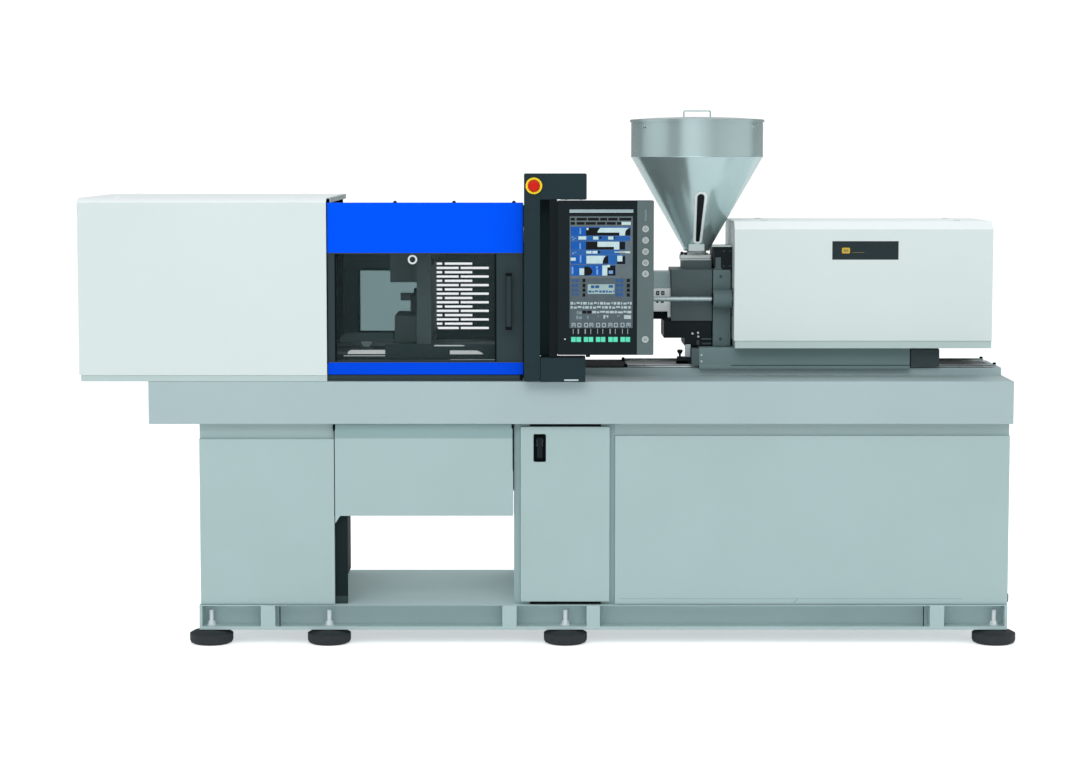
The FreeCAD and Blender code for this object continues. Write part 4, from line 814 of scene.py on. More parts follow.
# the covers' upper faces get a whiter white: painted highlight
tint("clamp_cover", COVER_TOP_LIT, lambda c, n: c.z > 1.62 and n.z > 0.3)
tint("injection_cover", COVER_TOP_LIT, lambda c, n: c.z > 1.52 and n.z > 0.3)
# inner faces of both covers painted near black: painted shade of the dark interiors
tint("clamp_cover", RUBBER_AND_SHADE, lambda c, n: (c.y > 0.440 and n.y < -0.5) or (c.y < -0.390 and n.y > 0.5) or (c.z > 1.632 and n.z < -0.3) or (c.x < -1.710 and n.x > 0.5))
tint("injection_cover", RUBBER_AND_SHADE, lambda c, n: (c.y > 0.266 and n.y < -0.5) or (c.y < -0.216 and n.y > 0.5) or (c.z > 1.520 and n.z < -0.3) or (c.x > 1.632 and n.x < -0.5))
# ------------------------------------------------------------------ injection unit
def extrude_x(bm, pts, x0, x1, mi=0):
    # outline given as (y, z), drawn out along x
    a = [bm.verts.new((x0, y, z)) for y, z in pts]
    b = [bm.verts.new((x1, y, z)) for y, z in pts]
    n = len(pts)
    for f in [bm.faces.new(a), bm.faces.new(b[::-1])] + [bm.faces.new((a[i], b[i], b[(i + 1) % n], a[(i + 1) % n])) for i in range(n)]:
        f.material_index = mi
        f.tag = True


HX, HY = 0.556, 0.025


def cone_r(z):
    return 0.050 + (z - 1.443) / 0.349 * 0.199


def on_cone(t, z, off):
    # a point on the front of the hopper's cone: t sideways, off outward
    r = cone_r(z) + off
    return (HX + t, HY - math.sqrt(max(r * r - t * t, 1e-8)), z)


def cone_slot(bm, z0, z1, w0, w1, off0, off1, lean=0.0, inner=None, n=12, mi=0):
    # a slot-shaped plate on the cone; inner gives the hole's margin
    def outline_pts(m):
        pts = []
        for i in range(n + 1):
            a = math.pi * i / n
            r = w1 / 2 - m
            pts.append((r * math.cos(a), z1 - w1 / 2 + r * math.sin(a)))
        for i in range(n + 1):
            a = math.pi + math.pi * i / n
            r = w0 / 2 - m
            pts.append((r * math.cos(a), z0 + w0 / 2 + r * math.sin(a)))
        return [(t + lean * (z - z0), z) for t, z in pts]

    op = outline_pts(0.0)
    if inner is None:
        fr = [bm.verts.new(on_cone(t, z, off1)) for t, z in op]
        bk = [bm.verts.new(on_cone(t, z, off0)) for t, z in op]
        m = len(op)
        fs = []
        for i in range(n):
            fs.append(bm.faces.new((fr[i], fr[i + 1], fr[m - 2 - i], fr[m - 1 - i])))
        for i in range(m):
            fs.append(bm.faces.new((fr[i], bk[i], bk[(i + 1) % m], fr[(i + 1) % m])))
    else:
        ip = outline_pts(inner)
        m = len(op)
        rings = []
        for pts, off in ((op, off0), (op, off1 - 0.0006), (outline_pts(0.0008), off1), (outline_pts(inner - 0.0006), off1), (ip, off1 - 0.0006), (ip, off0)):
            rings.append([bm.verts.new(on_cone(t, z, off)) for t, z in pts])
        fs = []
        for a, b in zip(rings[:-1], rings[1:]):
            for i in range(m):
                fs.append(bm.faces.new((a[i], a[(i + 1) % m], b[(i + 1) % m], b[i])))
    for f in fs:
        f.material_index = mi
        f.tag = True


bm = bmesh.new()
cone_slot(bm, 1.4625, 1.6640, 0.034, 0.047, 0.0002, 0.0030, 0.034, 0.0098)
piece("sight_frame", bm, "injection_carriage", plastic("sight_frame_light", rgb(236, 244, 244), 0.35, 0.02), True)
bm = bmesh.new()
cone_slot(bm, 1.4705, 1.6560, 0.020, 0.031, 0.0002, 0.0012, 0.034)
piece("sight_glass", bm, "injection_carriage", SIGHT)

# clear block below the sight glass, and the knob of the throat slide
bm = bmesh.new()
slab(bm, 0.522, 0.582, -0.0560, -0.0300, 1.4375, 1.4635, 0.002)
slab(bm, 0.530, 0.535, -0.0575, -0.0550, 1.4385, 1.4625, 0.0006)
slab(bm, 0.552, 0.557, -0.0575, -0.0550, 1.4385, 1.4625, 0.0006)
slab(bm, 0.571, 0.576, -0.0575, -0.0550, 1.4385, 1.4625, 0.0006)
piece("throat_block", bm, "injection_carriage", plastic("throat_clear", rgb(206, 220, 220), 0.3, 0.04))
bm = bmesh.new()
rod(bm, (0.494, -0.020, 1.4270), (0.519, -0.020, 1.4270), 0.0050, 20, chamfer=0.001)
rod(bm, (0.493, -0.020, 1.4270), (0.503, -0.020, 1.4270), 0.0075, 24, chamfer=0.0015)
piece("slide_knob", bm, "injection_carriage", BLACKP)
bm = bmesh.new()
slab(bm, 0.4955, 0.6055, -0.0325, -0.0305, 1.4085, 1.4105, 0.0004)
piece("flange_seam", bm, "injection_carriage", plastic("seam_pale", rgb(150, 160, 160), 0.5))
bm = bmesh.new()
for x in (0.503, 0.598):
    for y in (-0.021, 0.071):
        capscrew(bm, (x, y, 1.4220), (0, 0, 1), 0.0055, 0.0045)
piece("flange_screws", bm, "injection_carriage", ZINC)

# hopper: rolled seam where cone and drum meet, lap seam at the back, lid catches
bm = bmesh.new()
prof = [(0.2492, -0.0022), (0.2502, -0.0012), (0.2502, 0.0012), (0.2492, 0.0022)]
turned(bm, [(r, s) for r, s in prof], (HX, HY, 1.7920), "z", 96)
piece("hopper_seam", bm, "injection_carriage", HOPPER, True)
bm = bmesh.new()
slab(bm, HX - 0.004, HX + 0.004, 0.2735, 0.2755, 1.7980, 1.9180, 0.0006)
piece("hopper_lap", bm, "injection_carriage", HOPPER)
bm = bmesh.new()
for a in (35, 145, 215, 325):
    c = Vector((HX + 0.252 * math.cos(math.radians(a)), HY + 0.252 * math.sin(math.radians(a)), 1.905))
    n = Vector((math.cos(math.radians(a)), math.sin(math.radians(a)), 0))
    t = Vector((-n.y, n.x, 0))
    rod(bm, c - n * 0.003, c + n * 0.003, 0.006, 16, chamfer=0.0008)
piece("lid_catches", bm, "injection_carriage", ZINC)

# drive cowl: pale cap strip, brace and screws
bm = bmesh.new()
slab(bm, 0.6060, 0.6800, -0.1130, -0.0960, 1.4555, 1.4620, 0.0012)
piece("cowl_cap", bm, "injection_carriage", plastic("cap_pale", rgb(186, 202, 200), 0.45, 0.03))
bm = bmesh.new()
extrude_x(bm, [(-0.1110, 1.3710), (-0.1040, 1.3710), (-0.1060, 1.4160), (-0.1100, 1.4160)], 0.6200, 0.6400)
slab(bm, 0.6150, 0.6450, -0.1110, -0.1040, 1.3705, 1.3770, 0.0012)
piece("cowl_brace", bm, "injection_carriage", CAST)
bm = bmesh.new()
for x in (0.652, 0.674):
    for z in (1.384, 1.440):
        capscrew(bm, (x, -0.1050, z), (0, -1, 0), 0.0035, 0.002)
piece("cowl_screws", bm, "injection_carriage", CASTD)

# rod housings: dark end rings and the plate's fixing screws
bm = bmesh.new()
for y in (-0.140, 0.190):
    turned(bm, [(0.0225, 0.0), (0.0225, -0.0035), (0.0205, -0.0045), (0.0100, -0.0045), (0.0100, 0.0)], (0.6092, y, 1.262), "x", 40)
piece("rod_seals", bm, "injection_carriage", RUBBER_AND_SHADE)
bm = bmesh.new()
for y in (-0.090, 0.140):
    for z in (1.110, 1.345):
        capscrew(bm, (0.6112, y, z), (-1, 0, 0), 0.008, 0.006)
for z in (1.110, 1.345):
    capscrew(bm, (0.640, -0.1150, z), (0, -1, 0), 0.0055, 0.0035)
piece("plate_screws", bm, "injection_carriage", CASTD)

# barrel guard: grey upper faces, black lower edge, two sockets and their rivets
UPPER = powder("guard_upper", rgb(150, 171, 173), 0.42, 0.02)
bm = bmesh.new()
extrude_x(bm, [(-0.0805, 1.3010), (-0.0815, 1.3010), (-0.0312, 1.3592), (-0.0295, 1.3592), (-0.0300, 1.3580)], 0.1045, 0.4535)
extrude_x(bm, [(0.1305, 1.3010), (0.1315, 1.3010), (0.0812, 1.3592), (0.0795, 1.3592), (0.0800, 1.3580)], 0.1045, 0.4535)
slab(bm, 0.1045, 0.4535, -0.0300, 0.0800, 1.3576, 1.3592, 0.0004)
piece("guard_upper_faces", bm, "injection_carriage", UPPER)
bm = bmesh.new()
slab(bm, 0.1035, 0.4420, -0.0835, -0.0795, 1.1835, 1.2115, 0.0008)
slab(bm, 0.1035, 0.4420, 0.1295, 0.1335, 1.1835, 1.2115, 0.0008)
piece("guard_edge", bm, "injection_carriage", RUBBER_AND_SHADE)
bm = bmesh.new()
for x in (0.4050, 0.4244, 0.2350, 0.2544):
    raised(bm, rounded_rect(x - 0.0062, x + 0.0062, 1.2738, 1.2886, 0.0014, 3), -0.0822, -0.0799, 0)
    raised(bm, rounded_rect(x - 0.0026, x + 0.0026, 1.2778, 1.2846, 0.0008, 3), -0.0826, -0.0815, 1)
for x0, x1 in ((0.4000, 0.4080), (0.4165, 0.4280)):
    raised(bm, [(x0, 1.2440), (x1, 1.2440), (x1, 1.2500), (x0, 1.2500)], -0.0812, -0.0799, 0)
piece("guard_sockets", bm, "injection_carriage", [BLACKP, KEYG])

# feed support: hose fittings and small brackets
bm = bmesh.new()
for x, z in ((0.5350, 1.1300), (0.5560, 1.1330), (0.5570, 1.1185)):
    rod(bm, (x, -0.1000, z), (x, -0.1100, z), 0.0042, 16, chamfer=0.0008)
piece("hose_fittings", bm, "injection_carriage", plastic("fitting_pale", rgb(205, 214, 214), 0.3, 0.03))
bm = bmesh.new()
slab(bm, 0.5680, 0.6060, -0.1080, -0.0990, 1.1060, 1.1130, 0.0010)
slab(bm, 0.5700, 0.6060, -0.1060, -0.0990, 1.0880, 1.0960, 0.0010)
slab(bm, 0.5500, 0.5620, -0.1060, -0.0990, 1.0860, 1.1040, 0.0010)
piece("support_brackets", bm, "injection_carriage", CASTD)

# carriage front end: cover plate, locking lever, knob on its base
bm = bmesh.new()
slab(bm, 0.5285, 0.5575, -0.1668, -0.1625, 1.0140, 1.0785, 0.0012)
piece("carriage_plate", bm, "injection_carriage", powder("plate_grey", rgb(84, 102, 104), 0.45, 0.03))
bm = bmesh.new()
slab(bm, 0.5075, 0.5285, -0.1080, -0.0900, 1.0400, 1.0890, 0.0020)
piece("lever_post", bm, "injection_carriage", plastic("lever_pale", rgb(196, 208, 214), 0.35, 0.03))
bm = bmesh.new()
turned(bm, [(0.0040, -0.002), (0.0040, 0.010), (0.0075, 0.014), (0.0105, 0.020), (0.0105, 0.0245), (0.0090, 0.0270), (0.0, 0.0272)], (0.4885, -0.100, 1.0420), "z", 28)
extrude_x(bm, [(-0.125, 1.0185), (-0.125, 1.0400), (-0.123, 1.0420), (-0.077, 1.0420), (-0.075, 1.0400), (-0.075, 1.0185)], 0.4780, 0.5295)
slab(bm, 0.4735, 0.5200, -0.1250, -0.0750, 1.0175, 1.0300, 0.0020)
piece("lock_knob", bm, "injection_carriage", BLACKP)

# skirt: fold line above the lip, two small screws
bm = bmesh.new()
slab(bm, 0.6770, 1.3440, -0.1705, -0.1675, 1.0135, 1.0165, 0.0004)
slab(bm, 0.5580, 1.3440, 0.2175, 0.2205, 1.0135, 1.0165, 0.0004)
piece("skirt_fold", bm, "injection_carriage", SEAM)
bm = bmesh.new()
for z in (1.0541, 1.0298):
    turned(bm, [(0.0042, 0.0), (0.0042, -0.0012), (0.0030, -0.0018), (0, -0.0018)], (0.5657, -0.1668, z), "y", 20)
for x in (0.66, 0.95, 1.24):
    for z in (1.0541,):
        turned(bm, [(0.0042, 0.0), (0.0042, 0.0012), (0.0030, 0.0018), (0, 0.0018)], (x, 0.2168, z), "y", 20)
piece("skirt_screws", bm, "injection_carriage", plastic("screw_pale", rgb(196, 206, 206), 0.3, 0.03))

# rails: dark sheet between them, end cover, hole plugs and end stops
bm = bmesh.new()
slab(bm, 0.2900, 1.6600, -0.1020, 0.1520, 1.0046, 1.0058, 0.0003)
slab(bm, 0.2900, 1.6600, 0.1785, 0.1925, 1.0046, 1.0058, 0.0003)
slab(bm, 0.2900, 1.6600, -0.1430, -0.1285, 1.0046, 1.0055, 0.0002)
piece("rail_sheet", bm, "machine", metal("sheet_dark", rgb(66, 74, 77), 0.4, (30, 2, 1), 0.06, 0.05, 0.6))
bm = bmesh.new()
slab(bm, 0.1285, 0.2870, -0.1445, 0.1945, 1.0048, 1.0080, 0.0012)
for y0, y1 in ((-0.1430, -0.0950), (0.1450, 0.1930)):
    slab(bm, 0.2780, 0.2890, y0, y1, 1.0050, 1.0170, 0.0015)
piece("rail_end_cover", bm, "machine", plastic("end_cover_dark", rgb(18, 24, 26), 0.7, 0.04, spec=0.04))
bm = bmesh.new()
for y in (-0.115, 0.165):
    x = 0.350
    while x < 1.64:
        turned(bm, [(0.0045, 0.0), (0.0045, 0.0002), (0.0038, 0.0003), (0, 0.0003)], (x, y, 1.0149), "z", 16)
        x += 0.120
piece("rail_plugs", bm, "machine", BLACKP)
bm = bmesh.new()
for x, y in ((1.6665, 0.165), (1.6700, -0.115)):
    rod(bm, (x, y, 1.0140), (x, y, 1.0215), 0.0065, 20, chamfer=0.001)
piece("rail_stops", bm, "machine", RUBBER_AND_SHADE)

# status window: dark glass with one amber field and a fine bar
bm = bmesh.new()
slab(bm, 1.0446, 1.2904, -0.2240, -0.2226, 1.4126, 1.4814, 0.0005)
piece("status_glass", bm, "injection_carriage", glow("status_dark", rgb(34, 48, 52), 0.2, 0.3))
bm = bmesh.new()
raised(bm, rounded_rect(1.0805, 1.1104, 1.4360, 1.4570, 0.0045, 5), -0.2246, -0.2238)
piece("status_field", bm, "injection_carriage", glow("amber_field", rgb(206, 172, 60), 0.4, 0.3))
bm = bmesh.new()
raised(bm, [(1.1177, 1.4386), (1.1640, 1.4386), (1.1640, 1.4396), (1.1177, 1.4396)], -0.2244, -0.2238)
raised(bm, rounded_rect(1.0870, 1.1040, 1.4420, 1.4510, 0.0020, 3), -0.2250, -0.2244)
piece("status_bar", bm, "injection_carriage", glow("amber_dim", rgb(150, 138, 78), 0.35, 0.3))
bm = bmesh.new()
for x0, x1, z0, z1 in ((1.0432, 1.2918, 1.4112, 1.4126), (1.0432, 1.2918, 1.4814, 1.4828), (1.0432, 1.0446, 1.4112, 1.4828), (1.2904, 1.2918, 1.4112, 1.4828)):
    slab(bm, x0, x1, -0.2256, -0.2246, z0, z1, 0.0003)
piece("status_rim", bm, "injection_carriage", TRIM)

# injection cover: screws, air slots at the rear and on the end, plugs on top
bm = bmesh.new()
for x in (0.720, 1.160, 1.600):
    for z in (1.130, 1.500):
        capscrew(bm, (x, 0.2750, z), (0, 1, 0), 0.0055, 0.003)
for y in (-0.170, 0.220):
    for z in (1.130, 1.490):
        capscrew(bm, (1.6410, y, z), (1, 0, 0), 0.0055, 0.003)
piece("inj_cover_screws", bm, "injection_carriage", ZINC)
bm = bmesh.new()
for i in range(11):
    z = 1.430 - i * 0.022
    for x in (0.80, 1.08, 1.36):
        raised(bm, [(x, z), (x + 0.20, z), (x + 0.20, z + 0.009), (x, z + 0.009)], 0.2747, 0.2757)
    slab(bm, 1.6406, 1.6417, -0.080, 0.130, z, z + 0.009, 0.0004)
piece("inj_cover_slots", bm, "injection_carriage", SEAM)
bm = bmesh.new()
for x in (0.80, 1.52):
    for y in (-0.12, 0.17):
        turned(bm, [(0.013, 0.0), (0.013, 0.002), (0.010, 0.0035), (0, 0.0035)], (x, y, 1.5538), "z", 24)
piece("inj_cover_plugs", bm, "injection_carriage", COVER, True)
bm = bmesh.new()
slab(bm, 0.6810, 0.6838, -0.2180, 0.2680, 1.3000, 1.3014, 0.0003)
for z in (1.2050, 1.2890):
    capscrew(bm, (0.6830, -0.1900, z), (-1, 0, 0), 0.004, 0.002)
piece("inj_cover_end_seam", bm, "injection_carriage", SEAM)
# ------------------------------------------------------------------ base and cabinets
BAY_SHADE = powder("bay_painted_shade", rgb(24, 38, 40), 0.6, 0.05, 0.1, spec=0.1)
BAY_SHADE_FOOT = powder("bay_painted_shade_foot", rgb(56, 71, 72), 0.6, 0.05, 0.1, spec=0.1)
CABTOP = powder("cabinet_shade", rgb(146, 172, 173), 0.5, 0.02)

# dark sheets on the bay's inner side, darkest above and lighter at the foot: painted shade of the cabinet's inside
bm = bmesh.new()
slab(bm, -0.7946, -0.7480, -0.3520, -0.3420, 0.1740, 0.4800, 0.0008)
slab(bm, -0.7946, -0.7900, -0.3420, 0.3950, 0.1600, 0.4800, 0.0008)
piece("bay_shade_sheet", bm, "machine", BAY_SHADE)
bm = bmesh.new()
slab(bm, -0.7946, -0.7480, -0.3522, -0.3420, 0.1475, 0.1745, 0.0008)
piece("bay_shade_sheet_foot", bm, "machine", BAY_SHADE_FOOT)

# chute covers: shaded upper band, turned-down corner tab, gaps at both sides
bm = bmesh.new()
slab(bm, -0.7915, -0.1375, -0.3724, -0.3716, 0.7630, 0.8148, 0.0002)
slab(bm, -0.7915, -0.1375, 0.4216, 0.4224, 0.7630, 0.8148, 0.0002)
piece("chute_upper_band", bm, "machine", CABTOP)
bm = bmesh.new()
raised(bm, [(-0.7918, 0.4770), (-0.7918, 0.4480), (-0.7730, 0.4770)], -0.3718, -0.3704)
piece("chute_tab", bm, "machine", CAB)
bm = bmesh.new()
slab(bm, -0.7949, -0.7921, -0.3714, -0.3600, 0.4760, 0.8150, 0.0002)
raised(bm, [(-0.7990, 0.8146), (-0.7990, 0.7990), (-0.7960, 0.7880), (-0.7920, 0.7880), (-0.7895, 0.7990), (-0.7895, 0.8146)], -0.3730, -0.3720)
slab(bm, -0.1368, -0.1342, -0.3714, -0.3600, 0.5700, 0.8150, 0.0002)
raised(bm, [(-0.1425, 0.8146), (-0.1425, 0.8010), (-0.1390, 0.7990), (-0.1385, 0.6500), (-0.1372, 0.6400), (-0.1345, 0.6400), (-0.1345, 0.8146)], -0.3732, -0.3722)
slab(bm, -0.7949, -0.7921, 0.4060, 0.4210, 0.4760, 0.8150, 0.0002)
slab(bm, -0.1368, -0.1342, 0.4060, 0.4210, 0.4760, 0.8150, 0.0002)
piece("chute_gaps", bm, "machine", RUBBER_AND_SHADE)
bm = bmesh.new()
for x in (-0.70, -0.46, -0.22):
    for z in (0.500, 0.745):
        capscrew(bm, (x, 0.4220, z), (0, 1, 0), 0.005, 0.0025)
piece("chute_rear_screws", bm, "machine", ZINC)

# cabinet door: black pocket around the latch, gaps above and below, darker strips at its sides as painted shade
bm = bmesh.new()
for x0, x1, z0, z1 in ((-0.0618, -0.0500, 0.6764, 0.7786), (-0.0280, -0.0162, 0.6764, 0.7786), (-0.0500, -0.0280, 0.6764, 0.7320), (-0.0500, -0.0280, 0.7580, 0.7786)):
    slab(bm, x0, x1, -0.3602, -0.3592, z0, z1, 0.0002)
for x0, x1, z0, z1 in ((-0.0619, -0.0607, 0.6762, 0.7788), (-0.0173, -0.0161, 0.6762, 0.7788), (-0.0619, -0.0161, 0.6761, 0.6773), (-0.0619, -0.0161, 0.7777, 0.7789)):
    slab(bm, x0, x1, -0.3718, -0.3592, z0, z1, 0.0002)
piece("latch_pocket", bm, "cabinet_door", RUBBER_AND_SHADE)
bm = bmesh.new()
for cx, cz, sx, sz in ((-0.0607, 0.7777, 1, -1), (-0.0173, 0.7777, -1, -1), (-0.0607, 0.6773, 1, 1), (-0.0173, 0.6773, -1, 1)):
    r = 0.0045
    arc = [(cx + sx * (r - r * math.sin(a)), cz + sz * (r - r * math.cos(a))) for a in [math.pi / 2 * i / 5 for i in range(6)]]
    raised(bm, [(cx, cz)] + arc, -0.3719, -0.3712)
piece("latch_corners", bm, "cabinet_door", CAB)
bm = bmesh.new()
slab(bm, -0.0750, 0.1860, -0.3716, -0.3560, 0.8072, 0.8148, 0.0003)
slab(bm, -0.0750, 0.1870, -0.3716, -0.3560, 0.1492, 0.1562, 0.0003)
slab(bm, 0.2184, 0.2376, -0.3570, -0.3552, 0.1500, 0.8140, 0.0003, mi=1)
slab(bm, -0.1330, -0.1094, -0.3570, -0.3552, 0.1500, 0.8140, 0.0003, mi=1)
piece("door_gaps", bm, "machine", [RUBBER_AND_SHADE, powder("gap_shade", rgb(150, 174, 175), 0.5, 0.02)])
bm = bmesh.new()
for z in (0.250, 0.480, 0.710):
    slab(bm, 0.196, 0.214, -0.3690, -0.3560, z - 0.022, z + 0.022, 0.001)
piece("door_hinge_leaves", bm, "cabinet_door", ZINC)

# right panel: faint fold and its seam, end plug, floor-level lines on the frame
bm = bmesh.new()
slab(bm, 0.2560, 1.5200, -0.3723, -0.3717, 0.1680, 0.1692, 0.0001)
raised(bm, [(0.8960, 0.1520), (0.9000, 0.1520), (0.9140, 0.1675), (0.9110, 0.1675)], -0.3724, -0.3718)
piece("right_panel_fold", bm, "machine", powder("fold_shade", rgb(136, 158, 159), 0.5, 0.02))
bm = bmesh.new()
slab(bm, 1.6880, 1.6915, -0.3700, -0.3540, 0.1560, 0.1850, 0.0008)
slab(bm, 1.6880, 1.6915, 0.3900, 0.4040, 0.1560, 0.1850, 0.0008)
slab(bm, -0.9992, -0.9955, -0.3838, -0.3815, 0.0600, 0.1400, 0.0003)
slab(bm, 1.3750, 1.3785, -0.3838, -0.3815, 0.0600, 0.1400, 0.0003)
piece("frame_marks", bm, "machine", RUBBER_AND_SHADE)
bm = bmesh.new()
for x in (-1.254, -0.818, 0.056, 1.642):
    for y in (-0.350, 0.395):
        hexhead(bm, (x, y, 0.0570), (0, 0, 1), 0.026, 0.0075)
        hexhead(bm, (x, y, 0.0475), (0, 0, 1), 0.030, 0.0060)
piece("stud_nuts", bm, "machine", powder("nut_dark", rgb(52, 62, 64), 0.4, 0.04))

# rear of the cabinets: raised service doors, latches, air slots, blank plate, sockets
bm = bmesh.new()
for x0, x1 in ((-1.262, -0.823), (-0.106, 0.470), (0.484, 1.060), (1.074, 1.660)):
    slab(bm, x0, x1, 0.4046, 0.4120, 0.1720, 0.7900, 0.0025)
piece("rear_service_doors", bm, "machine", CAB)
bm = bmesh.new()
for x in (-0.845, 0.448, 1.038, 1.638):
    z = 0.480
    raised(bm, stadium(x, z, 0.020, 0.060), 0.4118, 0.4132)
    turned(bm, [(0.0075, 0.0), (0.0075, 0.0035), (0.0060, 0.0045), (0, 0.0045)], (x, 0.4125, z + 0.012), "y", 24)
piece("rear_latches", bm, "machine", BLACKP)
bm = bmesh.new()
for x0 in (-1.17, 0.06, 0.65, 1.25):
    for i in range(12):
        z = 0.705 - i * 0.018
        slab(bm, x0, x0 + 0.24, 0.4117, 0.4127, z, z + 0.008, 0.0003)
piece("rear_air_slots", bm, "machine", SEAM)
bm = bmesh.new()
for x0, x1 in ((-1.262, -0.823), (-0.106, 0.470), (0.484, 1.060), (1.074, 1.660)):
    for z in (0.190, 0.772):
        for x in (x0 + 0.018, x1 - 0.018):
            capscrew(bm, (x, 0.4120, z), (0, 1, 0), 0.005, 0.0025)
piece("rear_door_screws", bm, "machine", ZINC)
bm = bmesh.new()
slab(bm, 0.720, 0.860, 0.4117, 0.4140, 0.290, 0.380, 0.001)
piece("rear_blank_plate", bm, "machine", STEEL)
bm = bmesh.new()
slab(bm, 1.180, 1.300, 0.4117, 0.4360, 0.290, 0.430, 0.006)
turned(bm, [(0.030, 0.0), (0.030, 0.006), (0.027, 0.009), (0, 0.009)], (1.240, 0.4350, 0.375), "y", 40, 1)
slab(bm, 1.234, 1.246, 0.4430, 0.4560, 0.350, 0.400, 0.002, mi=2)
piece("rear_isolator", bm, "machine", [PANELB, YEL, RED])
bm = bmesh.new()
for i, x in enumerate((-1.15, -1.09, -1.03, -0.97)):
    turned(bm, [(0.016, 0.0), (0.016, 0.004), (0.013, 0.006), (0.013, 0.018), (0.010, 0.020), (0.0, 0.020)], (x, 0.4120, 0.250), "y", 32)
piece("rear_water_couplings", bm, "machine", STEEL, True)

# ends of the cabinets and the bed
bm = bmesh.new()
for i in range(10):
    z = 0.700 - i * 0.020
    slab(bm, 1.6876, 1.6890, -0.180, 0.210, z, z + 0.009, 0.0003)
    slab(bm, -1.2912, -1.2897, -0.180, 0.210, z, z + 0.009, 0.0003)
piece("end_air_slots", bm, "machine", SEAM)
bm = bmesh.new()
for y in (-0.320, 0.370):
    for z in (0.180, 0.780):
        capscrew(bm, (1.6880, y, z), (1, 0, 0), 0.005, 0.0025)
        capscrew(bm, (-1.2900, y, z), (-1, 0, 0), 0.005, 0.0025)
for y in (-0.330, -0.150, 0.200, 0.380):
    capscrew(bm, (1.6960, y, 0.900), (1, 0, 0), 0.008, 0.004)
    capscrew(bm, (-1.4710, y, 0.900), (-1, 0, 0), 0.008, 0.004)
piece("end_screws", bm, "machine", ZINC)

# ------------------------------------------------------------------ stage
def stage_floor():
    me = bpy.data.meshes.new("floor")
    bm = bmesh.new()
    rows = [(-30.0, 0.0), (-8.0, 0.0), (8.0, 0.0), (60.0, 0.0)]
    vs = [[bm.verts.new((x, y, z)) for x in (-60.0, 60.0)] for y, z in rows]
    for a, b in zip(vs[:-1], vs[1:]):
        bm.faces.new((a[0], a[1], b[1], b[0]))
    for f in bm.faces:
        f.smooth = True
    bm.to_mesh(me)
    bm.free()
    o = bpy.data.objects.new("floor", me)
    scene.collection.objects.link(o)
    m, t, p = new_mat("floor_pale")
    seen = t.nodes.new("ShaderNodeLightPath")
    lift = t.nodes.new("ShaderNodeMapRange")
    lift.inputs["To Min"].default_value = 0.13
    lift.inputs["To Max"].default_value = 0.52
    t.links.new(seen.outputs["Is Camera Ray"], lift.inputs["Value"])
    t.links.new(lift.outputs["Result"], p.inputs["Emission Strength"])
    v = coords(t)
    t.links.new(ramp(t, noise(t, v, 0.8, 3.0), rgb(246, 248, 248), rgb(250, 251, 251)), p.inputs["Base Color"])
    p.inputs["Roughness"].default_value = 0.7
    p.inputs["Specular IOR Level"].default_value = 0.15
    p.inputs["Emission Color"].default_value = (0.97, 0.985, 1.0, 1.0)
    me.materials.append(m)
    return o


stage_floor()


def area(name, loc, target, size, size_y, power, col=(1, 1, 1)):
    d = bpy.data.lights.new(name, "AREA")
    d.shape = "RECTANGLE"
    d.size, d.size_y = size, size_y
    d.energy = power
    d.color = col
    o = bpy.data.objects.new(name, d)
    scene.collection.objects.link(o)
    o.location = loc
    o.rotation_euler = (Vector(target) - Vector(loc)).to_track_quat("-Z", "Y").to_euler()
    return o


area("key_soft", (-1.0, -6.5, 6.0), (0, 0, 0.9), 8.0, 3.5, 195)
low = area("fill_low", (0.0, -9.0, 0.8), (0.0, 0, 0.7), 8.0, 1.4, 62)
low.visible_glossy = False
area("rim_soft", (2.0, 6.0, 5.0), (0, 0, 1.0), 6.0, 3.0, 58)
for side in (area("side_left", (-7.0, -1.0, 2.5), (0, 0, 1.0), 3.0, 3.0, 60), area("side_right", (7.0, -1.0, 2.5), (0, 0, 1.0), 3.0, 3.0, 60)):
    side.visible_glossy = False
bay = area("bay_soft", (-0.46, 0.0, 0.74), (-0.46, 0.001, 0.15), 0.55, 0.7, 1.5)
bay.visible_glossy = False

w = bpy.data.worlds.new("studio")
scene.world = w
w.use_nodes = True
wt = w.node_tree
bg = wt.nodes["Background"]
wc = wt.nodes.new("ShaderNodeTexCoord")
ws = wt.nodes.new("ShaderNodeSeparateXYZ")
wt.links.new(wc.outputs["Generated"], ws.inputs["Vector"])
up = wt.nodes.new("ShaderNodeMapRange")
up.inputs["From Min"].default_value = -0.1
up.inputs["From Max"].default_value = 0.9
up.inputs["To Min"].default_value = 0.12
up.inputs["To Max"].default_value = 0.84
wt.links.new(ws.outputs["Z"], up.inputs["Value"])
back = wt.nodes.new("ShaderNodeMapRange")
back.inputs["From Min"].default_value = -0.3
back.inputs["From Max"].default_value = 0.8
back.inputs["To Min"].default_value = 0.0
back.inputs["To Max"].default_value = 0.10
wt.links.new(ws.outputs["Y"], back.inputs["Value"])
both = wt.nodes.new("ShaderNodeMath")
both.operation = "ADD"
wt.links.new(up.outputs["Result"], both.inputs[0])
wt.links.new(back.outputs["Result"], both.inputs[1])
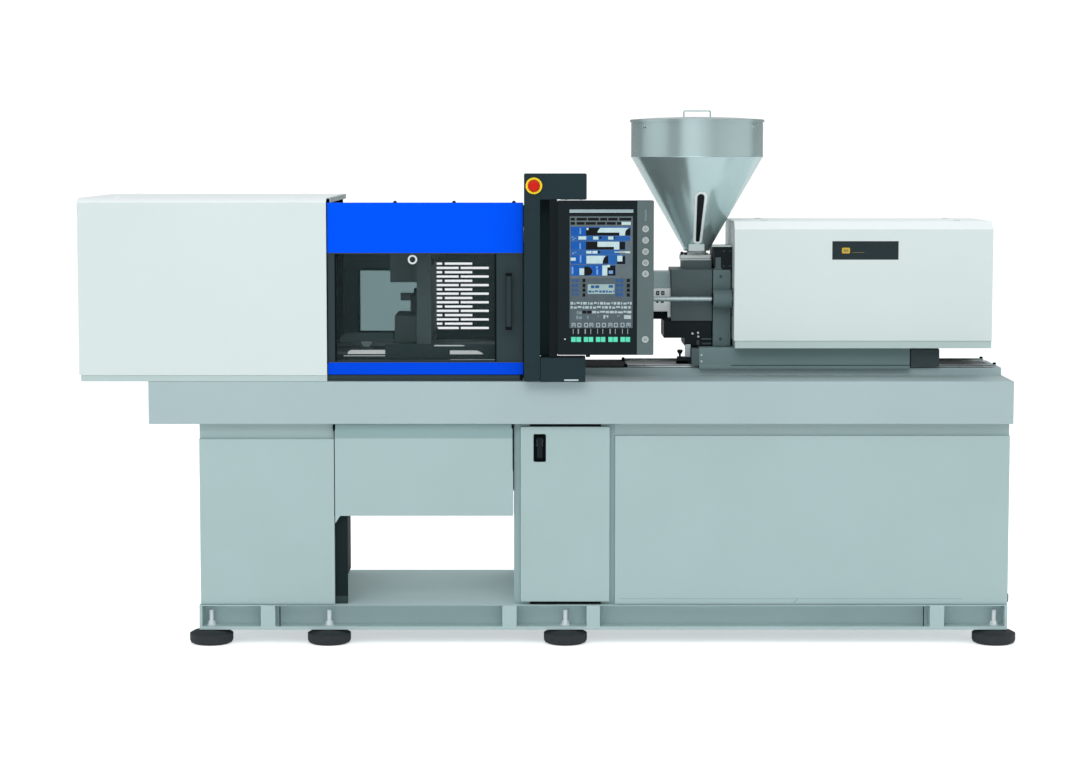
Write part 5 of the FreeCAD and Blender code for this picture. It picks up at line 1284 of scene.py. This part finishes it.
# upright soft bands around the horizon, as a studio's screens give
neg = wt.nodes.new("ShaderNodeMath")
neg.operation = "MULTIPLY"
neg.inputs[1].default_value = -1.0
wt.links.new(ws.outputs["Y"], neg.inputs[0])
az = wt.nodes.new("ShaderNodeMath")
az.operation = "ARCTAN2"
wt.links.new(ws.outputs["X"], az.inputs[0])
wt.links.new(neg.outputs["Value"], az.inputs[1])
turn = wt.nodes.new("ShaderNodeMapRange")
turn.inputs["From Min"].default_value = -math.pi
turn.inputs["From Max"].default_value = math.pi
wt.links.new(az.outputs["Value"], turn.inputs["Value"])
bands = wt.nodes.new("ShaderNodeValToRGB")
stops = [(-180, 0.40), (-118, 0.12), (-106, 0.55), (-80, 0.72), (-60, 0.60), (-52, 0.20), (-36, 0.10), (-25, 0.85), (-8, 0.95), (28, 0.34), (34, 0.40), (62, 0.52), (100, 0.56), (114, 0.12), (180, 0.40)]
cr = bands.color_ramp
cr.elements[0].position = 0.0
cr.elements[1].position = 1.0
for a, g in stops[1:-1]:
    cr.elements.new((a + 180) / 360)
for e, (a, g) in zip(cr.elements, stops):
    e.color = (g, g, g, 1.0)
wt.links.new(turn.outputs["Result"], bands.inputs["Fac"])
lp = wt.nodes.new("ShaderNodeLightPath")
shiny = wt.nodes.new("ShaderNodeMix")
wt.links.new(lp.outputs["Is Glossy Ray"], shiny.inputs["Factor"])
wt.links.new(both.outputs["Value"], shiny.inputs["A"])
wt.links.new(bands.outputs["Color"], shiny.inputs["B"])
seen = wt.nodes.new("ShaderNodeMix")
wt.links.new(lp.outputs["Is Camera Ray"], seen.inputs["Factor"])
wt.links.new(shiny.outputs["Result"], seen.inputs["A"])
seen.inputs["B"].default_value = 1.08
wt.links.new(seen.outputs["Result"], bg.inputs["Strength"])
bg.inputs["Color"].default_value = (0.97, 0.985, 1.0, 1.0)
scene.view_settings.view_transform = "Standard"
scene.view_settings.look = "None"

cam_d = bpy.data.cameras.new("photo_camera")
cam = bpy.data.objects.new("photo_camera", cam_d)
scene.collection.objects.link(cam)
cam.location = (-0.038, -10.045, 1.836)
cam.rotation_euler = (math.radians(90.0 - 5.10), 0.0, 0.0)
cam_d.sensor_fit = "HORIZONTAL"
cam_d.sensor_width = 36.0
cam_d.lens = 88.333
cam_d.clip_end = 200.0
scene.camera = cam
